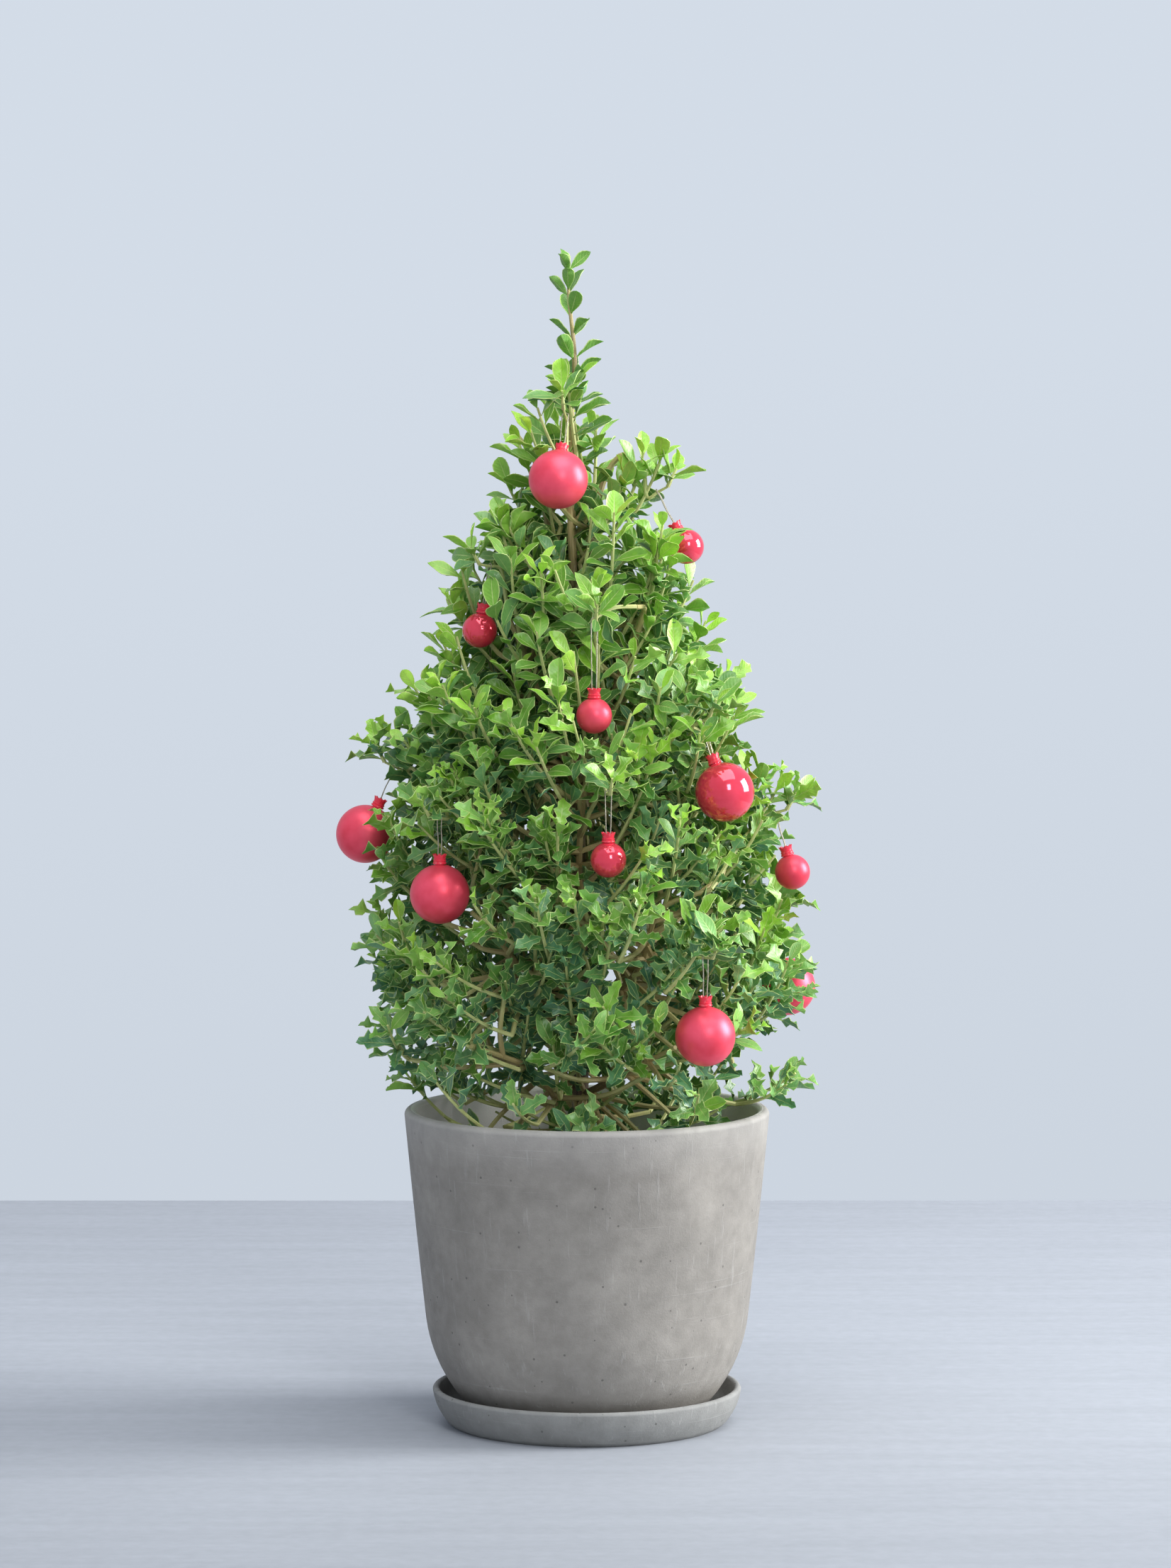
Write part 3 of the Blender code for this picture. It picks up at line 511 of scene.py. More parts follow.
def cap_material(colour):
    """Moulded red plastic, a little darker than the balls' red, with paler rubbed patches scattered at random."""
    s = Shading("cap plastic")
    rubbed = s.between(s.noise(420.0, 3.0), 0.55, 0.75)
    s.colour(s.mix(rubbed, tuple(c * 0.85 for c in colour[:3]), (0.86, 0.16, 0.19)))
    s.roughness(s.between(rubbed, -2.2, 5.0))
    s.bump(s.noise(900.0, 2.0), 0.00005, 0.4)
    return s.finish()


def wire_material():
    """Thin pale wire, a little uneven."""
    s = Shading("hanger wire")
    s.colour(s.ramp(s.noise(500.0), (0.35, (0.34, 0.30, 0.22)), (0.7, (0.56, 0.52, 0.43))))
    s.roughness(s.between(s.noise(700.0), -1.3, 3.0))
    s.bump(s.noise(2500.0), 0.00003, 0.3)
    return s.finish(Metallic=0.4)


def steel_material():
    s = Shading("core steel")
    s.colour(s.ramp(s.noise(300.0), (0.3, (0.42, 0.42, 0.43)), (0.7, (0.60, 0.60, 0.61))))
    s.roughness(s.between(s.noise(500.0), -0.8, 2.6))
    return s.finish(Metallic=1.0)


def cement_material(name, colour, cloudiness):
    """Fibre-cement: cloudy patches, scratches both ways, dark specks and pin holes, and painted light that turns
    it paler where a piece carries it.
    """
    s = Shading(name)
    mean = tuple(colour[:3])
    dark = tuple(c * (1.0 - 0.42 * cloudiness) for c in mean)
    pale = tuple(min(c * (1.0 + 0.50 * cloudiness), 1.0) for c in mean)
    clouds = s.noise(13.0, 7.0, 0.62)
    base = s.ramp(clouds, (0.32, dark), (0.50, mean), (0.68, pale))
    mottle = s.ramp(s.noise(75.0, 5.0, 0.6), (0.3, (0.86, 0.86, 0.85)), (0.7, (1.12,) * 3))
    base = s.times(base, mottle, 0.9)
    upright = s.noise(1.0, 4.0, 0.6, s.stretched((260.0, 260.0, 14.0)))
    level = s.noise(1.0, 4.0, 0.6, s.stretched((9.0, 9.0, 420.0)))
    scratched = s.math("ADD", s.between(upright, 0.60, 0.72), s.between(level, 0.62, 0.76))
    base = s.mix(s.scaled(scratched, 0.16), base, (0.60, 0.59, 0.57))
    specks = s.speckle(190.0, 0.17, 0.10)
    base = s.mix(s.scaled(specks, 0.55), base, (0.06, 0.055, 0.05))
    # Painted light: the cement is painted paler where the pot's vertices ask for it, on the lit inner wall and the
    # lip.
    s.colour(s.mix(s.scaled(s.reading("worn"), 0.95), base, (0.78, 0.76, 0.73)))
    s.roughness(s.between(clouds, -1.4, 1.0))
    grit = s.math("ADD", s.noise(620.0, 4.0, 0.7), s.scaled(scratched, 0.5))
    s.bump(s.math("SUBTRACT", grit, s.scaled(specks, 1.4)), 0.0005, 0.55)
    return s.finish()


def soil_material():
    """Dark crumbly soil with pale fibres."""
    s = Shading("soil crumb")
    grain = s.noise(260.0, 5.0, 0.7)
    dark, brown, dry = (0.014, 0.009, 0.006), (0.055, 0.036, 0.022), (0.12, 0.085, 0.055)
    browns = s.ramp(grain, (0.3, dark), (0.6, brown), (0.8, dry))
    fibres = s.between(s.noise(1.0, 3.0, 0.6, s.stretched((60.0, 900.0, 300.0))), 0.66, 0.74)
    s.colour(s.mix(s.scaled(fibres, 0.5), browns, (0.30, 0.22, 0.13)))
    s.roughness(s.between(grain, -3.0, 1.2))
    s.bump(grain, 0.0015, 0.9)
    return s.finish()


def floor_material(colour):
    """Trowelled floor, with painted shade that makes it a little darker towards the front."""
    s = Shading("floor paint")
    mean = tuple(colour[:3])
    base = s.ramp(s.noise(1.3, 3.0), (0.3, tuple(c * 0.95 for c in mean)), (0.7, mean))
    streaks = s.noise(1.0, 4.0, 0.6, s.stretched((3.0, 40.0, 1.0)))
    base = s.times(base, s.grey_ramp(streaks, 0.93, 1.03))
    base = s.times(base, s.grey_ramp(s.noise(90.0, 4.0, 0.6), 0.95, 1.04))
    apart = s.node("ShaderNodeSeparateXYZ")
    s.join(s.place(), apart.inputs["Vector"])
    # Painted shade: the floor is painted darker towards the front.
    s.colour(s.mix(s.between(apart.outputs["Y"], -1.1, 0.1), s.times(base, (0.60,) * 3), base))
    s.roughness(0.62)
    return s.finish()


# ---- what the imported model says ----


def points_of(node):
    return [vert.co.copy() for vert in NODES[node].data.vertices]


def trunk_stations():
    """(centre, radius) up the trunk, from the rings of its bark sleeve."""
    rings = {}
    for point in points_of("trunk"):
        rings.setdefault(round(point.z, 4), []).append(point)
    stations = []
    for z in sorted(rings):
        ring = rings[z]
        xs = [p.x for p in ring]
        ys = [p.y for p in ring]
        centre = Vector(((min(xs) + max(xs)) / 2, (min(ys) + max(ys)) / 2, z))
        stations.append((centre, (max(xs) - min(xs)) / 2))
    top = stations[-1][0].z
    outer = [stations[0]]
    for centre, radius in stations[1:]:
        limit = outer[0][1] * (1.0 - 0.75 * (centre.z - outer[0][0].z) / (top - outer[0][0].z))
        if radius > limit * 0.9 and centre.z > outer[-1][0].z + 0.02:
            outer.append((centre, radius))
    return outer


TRUNK = trunk_stations()


def trunk_at(z):
    """Centre and radius of the trunk at a height, held at its ends."""
    if z <= TRUNK[0][0].z:
        return TRUNK[0]
    for (low, low_r), (high, high_r) in zip(TRUNK, TRUNK[1:]):
        if z <= high.z:
            t = (z - low.z) / (high.z - low.z)
            return low.lerp(high, t), low_r + (high_r - low_r) * t
    return TRUNK[-1]


def outward_at(point):
    """Level direction away from the trunk."""
    centre, _ = trunk_at(point.z)
    away = Vector((point.x - centre.x, point.y - centre.y, 0.0))
    return away.normalized() if away.length > WELD else Vector((1.0, 0.0, 0.0))


# Balls past these depths hang at the crown's sides or behind its front, and leaves screen them
# at (inwards, up) from their centres.
AT_THE_SIDE, BEHIND = -0.012, 0.010
SIDE_SCREEN = ((0.017, 0.016), (0.020, -0.002), (0.012, -0.012))
FULL_SCREEN = (
    (0.016, 0.022),
    (0.000, 0.030),
    (-0.010, 0.020),
    (0.004, 0.012),
    (0.014, 0.002),
    (-0.008, 0.004),
)


class Bauble:
    """One bauble as its two joints and its ball's solid say."""

    def __init__(self, number):
        self.number = number
        self.name = f"bauble_{number:02d}"
        swing = JOINTS[f"hanger_{number:02d}_swing"]
        tilt = JOINTS[f"{self.name}_tilt"]
        self.pivot = Vector(swing["pos_m"])
        self.eye = Vector(tilt["pos_m"])
        self.twig = Vector(swing["axis"]).normalized()
        self.line = (self.pivot - self.eye).normalized()
        self.across = self.line.cross(self.twig)
        offsets = [point - self.eye for point in points_of(f"{self.name}_ball")]
        self.radius = max((o - self.line * o.dot(self.line)).length for o in offsets)
        lowest = min(o.dot(self.line) for o in offsets)
        self.centre = self.eye + self.line * (lowest + self.radius)
        swing_limit = math.radians(max(abs(v) for v in swing["range_deg"]))
        tilt_limit = math.radians(max(abs(v) for v in tilt["range_deg"]))
        drop = (self.pivot - self.centre).length
        hang = (self.eye - self.centre).length
        self.sideways = drop * math.sin(swing_limit)
        self.outwards = hang * math.sin(tilt_limit)
        self.neck_r = (self.pivot - self.eye).length * math.sin(swing_limit) + 0.0056

    def place(self):
        """Axes with X along the twig and Z up towards the loop, at the ball's centre."""
        turn = Matrix((self.twig, self.across, self.line)).transposed()
        return Matrix.Translation(self.centre) @ turn.to_4x4()

    def in_the_way(self, point, margin):
        """Whether a point is in the room that the ball and its loop swing through."""
        offset = point - self.centre
        sideways = offset.dot(self.across)
        along_twig = offset.dot(self.twig)
        up = offset.dot(self.line)
        reach = self.radius + margin
        shares = (
            along_twig / (reach + self.outwards),
            sideways / (reach + self.sideways),
            up / (reach + 0.001),
        )
        if sum(share**2 for share in shares) < 1.0:
            return True
        top = (self.pivot - self.centre).length + 0.003
        loop_reach = self.neck_r * (1.0 - 0.45 * up / top) + margin
        return 0.0 < up < top and math.hypot(sideways, along_twig) < loop_reach

    def hides(self, point, share):
        """Whether a point stands before the ball: each hangs in a clearing open to the front."""
        offset = point - self.centre
        if offset.y > 0 or self.centre.y > BEHIND:
            return False
        outwards = offset.x if self.centre.x > 0 else -offset.x
        if self.centre.y > AT_THE_SIDE and outwards < -0.30 * self.radius:
            return False
        over_cap = abs(offset.x) < 0.006 and 0.0 < offset.z < self.radius + 0.012
        return over_cap or math.hypot(offset.x, offset.z) < self.radius * share

    def host(self):
        """The branch that carries the twig: the one whose solid is nearest to the loop."""
        return nearest_branch(self.pivot)

    def over_loop(self):
        """Where shoots end over the loop, so that the bauble hangs out of the leaves."""
        beside = self.twig * 0.015
        back = self.pivot + UP * 0.020 - outward_at(self.pivot) * 0.010
        return [back + beside, back - beside, back + UP * 0.008]

    def screen(self):
        """Where shoots stand before a ball that hangs at the crown's side or behind its front."""
        inner = -1.0 if self.centre.x > 0 else 1.0
        if self.centre.y < AT_THE_SIDE:
            return []
        spots = SIDE_SCREEN if self.centre.y < BEHIND else FULL_SCREEN
        return [self.centre + Vector((inner * x, -self.radius - 0.014, z)) for x, z in spots]


BRANCHES = sorted(name for name in NODES if name.startswith(("branch_", "ground_shoot_")))
SOLIDS = {}


def solid_of(name):
    """A search tree over a CAD node's solid."""
    if name not in SOLIDS:
        mesh = NODES[name].data
        faces = [list(face.vertices) for face in mesh.polygons]
        SOLIDS[name] = BVHTree.FromPolygons([vert.co for vert in mesh.vertices], faces)
    return SOLIDS[name]


def nearest_branch(point):
    return min(BRANCHES, key=lambda name: nearest_gap(name, point))


def nearest_gap(name, point):
    return solid_of(name).find_nearest(point)[3]


def inside(name, point):
    near, normal, _, _ = solid_of(name).find_nearest(point)
    return (point - near).dot(normal) < 0.0


BAUBLE_COUNT = sum(name.endswith("_ball") for name in NODES)
BAUBLES = [Bauble(number) for number in range(1, BAUBLE_COUNT + 1)]


# ---- leaves ----

# Where the rows of a leaf lie from stalk to tip, and shares of the full half-width there.
LEAF_ROWS = (0.0, 0.12, 0.26, 0.40, 0.54, 0.67, 0.80, 0.92, 1.0)
ENTIRE_WIDTHS = (0.08, 0.14, 0.48, 0.78, 0.96, 1.00, 0.90, 0.56, 0.0)
LONG_WIDTHS = (0.08, 0.16, 0.50, 0.76, 0.86, 0.82, 0.66, 0.36, 0.0)
SPINY_WIDTHS = (0.08, 0.32, 0.94, 0.62, 1.10, 0.68, 0.98, 0.40, 0.0)
SPINY_LONG_WIDTHS = (0.08, 0.62, 0.52, 1.00, 0.64, 1.04, 0.54, 0.60, 0.0)
# How far the tip bends down, the two halves lift and the margin waves, for each kind of curl.
LEAF_CURLS = (
    (0.10, 0.30, 0.05),
    (0.24, 0.12, 0.10),
    (0.03, 0.45, 0.08),
    (0.38, 0.22, 0.06),
    (0.16, 0.60, 0.12),
)
SPINY_RIPPLE = 0.20
BEND_POWER = 2.2  # a leaf bends more and more towards its tip


def leaf_mesh(name, widths, settings, bend, fold, ripple):
    """One leaf along +Y with its upper side up: a grid given a shape, then a thickness."""
    bm = empty_bmesh("across", "along", "under", "tone", "age", "shade")
    rows = len(widths) - 1
    bmesh.ops.create_grid(bm, x_segments=2, y_segments=rows, size=0.5)
    across, along, under = (bm.verts.layers.float[key] for key in ("across", "along", "under"))
    spiny = widths in (SPINY_WIDTHS, SPINY_LONG_WIDTHS)
    for vert in bm.verts:
        u = vert.co.x * 2.0
        row = round((vert.co.y + 0.5) * rows)
        v = LEAF_ROWS[row]
        width = widths[row]
        on_spine = spiny and u != 0.0 and width > 0.8
        vert[across] = u
        vert[along] = v
        wave = ripple * math.sin(v * 9.0 + (1.2 if u > 0 else 0.0)) * u * u
        if on_spine:
            wave += ripple * (1.1 if (row // 2 + (u > 0)) % 2 else -0.5)
        vert.co = Vector(
            (
                u * width * settings.leaf_width / 2 * (1.0 - 0.12 * fold * abs(u)),
                (v + (0.045 if on_spine else 0.0)) * settings.leaf_length,
                settings.leaf_width * (fold * abs(u) * width * 0.5 + wave * width)
                - settings.leaf_length * bend * (v**BEND_POWER),
            )
        )
    bmesh.ops.remove_doubles(bm, verts=bm.verts, dist=0.00002)
    bmesh.ops.recalc_face_normals(bm, faces=bm.faces)
    if sum(face.normal.z for face in bm.faces) < 0:
        bmesh.ops.reverse_faces(bm, faces=bm.faces)
    made = bmesh.ops.extrude_face_region(bm, geom=bm.faces[:], use_keep_orig=True)["geom"]
    for vert in made:
        if isinstance(vert, bmesh.types.BMVert):
            vert.co.z -= settings.leaf_thickness
            vert[under] = 1.0
    bmesh.ops.recalc_face_normals(bm, faces=bm.faces)
    mesh = bpy.data.meshes.new(name)
    bm.to_mesh(mesh)
    bm.free()
    return mesh


def leaf_kinds(settings):
    """(bend, leaf) for smooth-edged and for spiny leaves, a few curls of each."""
    entire, spiny = [], []
    for i, (bend, fold, ripple) in enumerate(LEAF_CURLS):
        widths = LONG_WIDTHS if i % 2 else ENTIRE_WIDTHS
        entire.append((bend, leaf_mesh(f"entire_{i}", widths, settings, bend, fold, ripple)))
        widths = SPINY_WIDTHS if i % 2 else SPINY_LONG_WIDTHS
        spiny.append((bend, leaf_mesh(f"spiny_{i}", widths, settings, bend, fold, SPINY_RIPPLE)))
    return entire, spiny


def held(value, low=0.0, high=1.0):
    return min(max(value, low), high)


POT_LOW, POT_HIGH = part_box("pot")
TREE_TOP = CAD_BOUNDS[1][2]


def crown_share(z):
    """0 at the pot's rim, 1 at the top of the tree."""
    return held((z - POT_HIGH[2]) / (TREE_TOP - POT_HIGH[2]))


def blocked_by_pot(point):
    """Whether a leaf here would touch the pot's rim."""
    rim_r = (POT_HIGH[0] - POT_LOW[0]) / 2
    return point.z < POT_HIGH[2] + 0.003 and math.hypot(point.x, point.y) > rim_r - 0.016


def room_for(point, margin):
    """Whether a point is clear of the pot's rim and of the room that every bauble moves in."""
    if blocked_by_pot(point):
        return False
    return not any(bauble.in_the_way(point, margin) for bauble in BAUBLES)


CROWN_STEP = 0.02


def crown_reaches():
    """How far the branches reach from the trunk, by height in steps."""
    reaches = {}
    for name in BRANCHES:
        for point in points_of(name):
            reach = (point - trunk_at(point.z)[0]).length
            nearest = round(point.z / CROWN_STEP)
            for step in (nearest - 1, nearest):
                reaches[step] = max(reaches.get(step, 0.0), reach)
    return reaches


CROWN_REACHES = crown_reaches()


# Between these shares of the crown's height the trunk shows, over this half-width.
BARE_FROM, BARE_TO, BARE_HALF_WIDTH = 0.60, 0.80, 0.0065


def before_bare_trunk(point):
    """Whether a leaf here would cover the trunk where it shows, high in the crown."""
    centre, _ = trunk_at(point.z)
    bare = BARE_FROM < crown_share(point.z) < BARE_TO
    return bare and point.y < centre.y and abs(point.x - centre.x) < BARE_HALF_WIDTH


def before_inner_wall(point):
    """Whether a leaf here covers the inside of the pot where it shows, left of the trunk."""
    rim_r = POT_HIGH[0] - 0.01
    return -rim_r < point.x < -0.022 and point.z < POT_HIGH[2] + 0.133 * (rim_r - point.y) - 0.004


def depth_in_crown(point):
    """How far a point is inside the crown's outline, measured level."""
    nearest = min(CROWN_REACHES, key=lambda step: abs(step - point.z / CROWN_STEP))
    return CROWN_REACHES[nearest] - (point - trunk_at(point.z)[0]).length


LEAF_CREASE = 60.0  # a leaf's edges sharper than this many degrees shade as edges
LEAF_ROOM, TWIG_ROOM, LIMB_ROOM = 0.0018, 0.002, 0.005  # kept clear round a moving bauble


class Foliage:
    """The leaves and the wood of one branch while they are being made."""

    def __init__(self, kinds, settings, wood, rng):
        self.entire, self.spiny = kinds
        self.settings = settings
        self.wood_settings = wood
        self.rng = rng
        self.leaves = empty_bmesh("across", "along", "under", "tone", "age", "shade")
        self.wood = empty_bmesh("tint")

    def add_leaf(self, base, direction, normal, scale, age, tone, shade, spiny):
        """Places one leaf unless a bauble or the pot needs the room."""
        roll = Matrix.Rotation(self.rng.gauss(0.0, 0.40), 3, direction)
        side = roll @ direction.cross(normal).normalized()
        normal = side.cross(direction).normalized()
        reach = self.settings.leaf_length * scale
        edge = self.settings.leaf_width * scale * 0.5
        kinds = self.spiny if spiny else self.entire
        bend, leaf = kinds[self.rng.randrange(len(kinds))]
        spots = [
            base + (direction * share - normal * bend * share**BEND_POWER) * reach
            for share in (0.3, 0.65, 0.85, 1.03)
        ]
        sides = (-edge, 0.0, edge)
        if not all(room_for(spot + side * off, LEAF_ROOM) for spot in spots for off in sides):
            return
        middle = spots[1]
        if any(bauble.hides(middle, self.rng.uniform(0.90, 1.12)) for bauble in BAUBLES):
            return
        if before_bare_trunk(middle):
            return
        if before_inner_wall(middle) and self.rng.random() < 0.85:
            return
        first = len(self.leaves.verts)
        self.leaves.from_mesh(leaf)
        self.leaves.verts.ensure_lookup_table()
        made = self.leaves.verts[first:]
        stretch = self.rng.uniform(0.86, 1.12)
        turn = Matrix((side, direction, normal)).transposed().to_4x4()
        size = Matrix.Diagonal((scale * stretch, scale, scale, 1.0))
        bmesh.ops.transform(self.leaves, matrix=Matrix.Translation(base) @ turn @ size, verts=made)
        layers = self.leaves.verts.layers.float
        values = ((layers["tone"], tone), (layers["age"], age), (layers["shade"], shade))
        for vert in made:
            for layer, value in values:
                vert[layer] = value

    def add_wood(self, points, root_r, tip_r, tint_root, tint_tip, sides=6):
        """A tapering stem whose colour goes from old bark towards green wood."""
        count = len(points) - 1
        radii = [root_r + (tip_r - root_r) * i / count for i in range(count + 1)]
        made = add_tube(self.wood, points, radii, sides)
        layer = self.wood.verts.layers.float["tint"]
        span = (points[-1] - points[0]).length
        for vert in made:
            share = held((vert.co - points[0]).length / span)
            vert[layer] = tint_root + (tint_tip - tint_root) * share

    def add_shoot(self, points, tip_youth_and_light, clear_of=None, first_leaf=0.22, fewest=5):
        """A stem with leaves spiralling round it, closing into a bright rosette."""
        rng, settings = self.rng, self.settings
        root_r = self.wood_settings.twig_radius
        self.add_wood(points, root_r, root_r * 0.55, 0.7, 1.0)
        steps = len(points) - 1
        length = (points[-1] - points[0]).length
        count = max(round(length * (1.0 - first_leaf) / settings.leaf_spacing), fewest)
        spiny_share = held((settings.spiny_below - points[-1].z) / 0.14 + 0.5, 0.03, 0.94)
        height = crown_share(points[-1].z)
        turn = rng.random() * FULL_TURN
        tone = rng.random()
        for i in range(count):
            grown = (i + 0.5) / count
            spot = (first_leaf + (1.0 - first_leaf) * grown) * steps
            index = min(int(spot), steps - 1)
            here = points[index].lerp(points[index + 1], spot - index)
            axis = (points[index + 1] - points[index]).normalized()
            turn += GOLDEN_TURN + rng.uniform(-0.25, 0.25)
            if clear_of is not None and (here - clear_of).length < 0.009:
                continue
            away = Matrix.Rotation(turn, 3, axis) @ axis.orthogonal().normalized()
            spread = math.radians(66.0 - 40.0 * grown**1.8 + rng.uniform(-12, 12))
            leaf_way = axis * math.cos(spread) + away * math.sin(spread)
            upper_way = axis * math.sin(spread) - away * math.cos(spread)
            size = (0.90 + 0.08 * height) * rng.uniform(0.80, 1.10) * (0.85 if grown < 0.2 else 1.0)
            if grown > 0.9:
                size *= 0.72
            age = held(tip_youth_and_light * (0.60 + 0.40 * height) * grown**1.9 + rng.uniform(-0.10, 0.12))
            # Painted light and shade: leaves are painted brighter towards the tip of a young shoot and higher in
            # the crown.
            painted_lighting = 0.17 + 0.40 * grown * (0.4 + tip_youth_and_light) + 0.04 * height
            shade = held(painted_lighting + rng.uniform(-0.16, 0.22))
            # Lower leaves get higher tones, so more of the shade green: painted shade, on top of each leaf's own
            # random tone.
            tone_and_painted_shade = held(tone * 0.5 + rng.random() * 0.6 + 0.28 - 0.55 * height)
            spiny = rng.random() < spiny_share * (1.0 - 0.2 * grown)
            base = here + away * 0.001
            self.add_leaf(base, leaf_way, upper_way, size, age, tone_and_painted_shade, shade, spiny)


def shoot_heading(point, rng):
    """Low shoots lean out, high ones stand up, and no two point the same way."""
    rise = math.radians(30.0 + 46.0 * crown_share(point.z) ** 0.8 + rng.uniform(-16.0, 16.0))
    out = Matrix.Rotation(rng.gauss(0.0, 0.45), 3, "Z") @ outward_at(point)
    return (out * math.cos(rise) + UP * math.sin(rise)).normalized()


def shoot_path(tip, heading, length, steps=7):
    """Stem points that end at the tip, the stem turning upwards as it grows."""
    points = [tip.copy()]
    for i in range(steps):
        t = 1.0 - (i + 0.5) / steps
        way = (heading + UP * (0.45 * t - 0.15) + outward_at(tip) * 0.25 * (1.0 - t)).normalized()
        points.append(points[-1] - way * (length / steps))
    return points[::-1]


def limb_of(name):
    """Points along a branch's limb: the middles of its solid's slices out from the trunk."""
    solid = [(p, (p.xy - trunk_at(p.z)[0].xy).length) for p in points_of(name)]
    if name.startswith("ground_shoot"):
        soil_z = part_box("soil_cover")[0][2]
        stem = [p for p, _ in solid if p.z < POT_HIGH[2] - 0.004]
        foot = sum(stem, Vector()) / len(stem)
        path = [Vector((foot.x, foot.y, soil_z)), Vector((foot.x, foot.y, POT_HIGH[2] - 0.008))]
        leafy = [(p, reach) for p, reach in solid if p.z > POT_HIGH[2] + 0.006]
    else:
        near = min(reach for _, reach in solid)
        feet = [p for p, reach in solid if reach < near + 0.0012]
        foot = sum(feet, Vector()) / len(feet)
        path = [trunk_at(foot.z)[0].lerp(foot, 0.4), foot]
        leafy = [(p, reach) for p, reach in solid if reach > near + 0.006]
    start = min(reach for _, reach in leafy)
    far = max(reach for _, reach in leafy)
    for share in (0.3, 0.55, 0.8):
        low, high = (start + (far - start) * (share + off) for off in (-0.16, 0.16))
        middle = [p for p, reach in leafy if low <= reach <= high]
        if len(middle) > 3:
            path.append(sum(middle, Vector()) / len(middle))
    limb = curve_through(path, 5)
    ends = (i for i, point in enumerate(limb) if i > 8 and not room_for(point, LIMB_ROOM))
    return limb[: next(ends, len(limb))]


def volume_litres(name):
    bm = bmesh.new()
    bm.from_mesh(NODES[name].data)
    litres = abs(bm.calc_volume()) * 1000.0
    bm.free()
    return litres


def in_bounds(point):
    """Whether a shoot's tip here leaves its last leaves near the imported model's outermost sides."""
    low, high = CAD_BOUNDS
    return all(low[axis] + 0.003 < point[axis] < high[axis] - 0.003 for axis in (0, 1))


def next_tip(name, others, rng):
    """A point in or close to a branch's solid, in the crown's outer shell, far from the others."""
    spare = 0.032
    low, high = (Vector(corner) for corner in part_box(name))
    best, best_score = None, -1.0
    found = 0
    while found < 10:
        point = Vector([rng.uniform(a - spare, b + spare) for a, b in zip(low, high)])
        if not inside(name, point) and (nearest_gap(name, point) > spare or not in_bounds(point)):
            continue
        depth = depth_in_crown(point)
        if rng.random() > math.exp(-max(depth - 0.013, 0.0) / 0.032):
            continue
        found += 1
        if depth < 0.002 + 0.026 * crown_share(point.z) ** 2 or point.z > TREE_TOP - 0.03:
            continue
        score = min(((point - other).length for other in others), default=1.0) - 0.3 * depth
        if score > best_score:
            best, best_score = point, score
    return best


def twig_to(limb, path):
    """A curved twig from the limb to the foot of a shoot."""
    root = path[0]
    way = (path[1] - path[0]).normalized()
    joint = min(limb[3:], key=lambda p: (p - (root - way * 0.025)).length)
    sag = (outward_at(root) * 0.10 - UP * 0.05) * (root - joint).length
    return curve_through([joint, joint.lerp(root, 0.5) + sag, root], 4)


def leafy_branch(name, kinds, settings, wood, bark, leaf, rng):
    """All the wood and leaves that stand for one branch's solid."""
    foliage = Foliage(kinds, settings, wood, rng)
    limb = limb_of(name)
    foliage.add_wood(limb, wood.limb_radius, wood.twig_radius, 0.0, 0.5, sides=8)
    middle = sum(points_of(name), Vector()) / len(NODES[name].data.vertices)
    fullness = 1.0 + settings.fuller_at_top * crown_share(middle.z)
    shoots = max(round(volume_litres(name) * settings.shoots_per_litre * fullness), 5)
    hung = [bauble for bauble in BAUBLES if bauble.host() == name]
    screens = [spot for bauble in BAUBLES for spot in bauble.screen()]
    wanted = [spot for spot in screens if nearest_branch(spot) == name]
    wanted += [spot for bauble in hung for spot in bauble.over_loop()]
    tips = []
    tries = 0
    while len(tips) < shoots and tries < shoots * 6:
        tries += 1
        tip = wanted.pop() if wanted else next_tip(name, tips, rng)
        if tip is None:
            continue
        length = settings.shoot_length * rng.uniform(0.72, 1.20)
        path = shoot_path(tip, shoot_heading(tip, rng), length)
        twig = twig_to(limb, path)
        if not all(room_for(point, TWIG_ROOM) for point in path + twig[2:]):
            continue
        if any(bauble.hides(point, 1.1) for bauble in BAUBLES for point in path):
            continue
        tips.append(tip)
        foliage.add_wood(twig, wood.twig_radius * 1.3, wood.twig_radius, 0.25, 0.7)
        # Shoots deep in the crown get old tips and, with them, darker painted shade; outer shoots get young tips
        # and brighter painted light.
        youth_and_light_range = (0.0, 0.3) if depth_in_crown(tip) > 0.035 else (0.4, 1.1)
        foliage.add_shoot(path, rng.uniform(*youth_and_light_range))
    for bauble in hung:
        add_hanging_twig(foliage, limb, bauble, settings)
    finished_piece(f"{name}_wood", foliage.wood, bark, "tree")
    finished_piece(f"{name}_leaves", foliage.leaves, leaf, "tree", (name,), LEAF_CREASE)


def add_hanging_twig(foliage, limb, bauble, settings):
    """The twig that a bauble's loop hangs over, leafy but for where the loop is."""
    joints = sorted(limb[4:], key=lambda p: (p - bauble.pivot).length)
    along = bauble.twig if bauble.twig.dot(bauble.pivot - joints[0]) > 0 else -bauble.twig
    inner, outer = (bauble.pivot + along * reach for reach in (-0.008, 0.008))
    for joint in joints:
        middle = joint.lerp(inner, 0.55) + UP * 0.004
        lead = curve_through([joint, middle, inner, bauble.pivot, outer], 4)
        if all(room_for(p, 0.0025) or (p - bauble.pivot).length < 0.011 for p in lead):
            break
    foliage.add_shoot(lead, 0.5, clear_of=bauble.pivot, first_leaf=0.1)
    heading = (along * 0.8 + UP * 1.1).normalized()
    tip = [outer + heading * settings.shoot_length * 0.05 * i for i in range(5)]
    foliage.add_shoot(tip, 0.8, clear_of=bauble.pivot, first_leaf=0.0, fewest=8)


# ---- operators ----


def scene_settings(name):
    return getattr(bpy.context.scene, name)


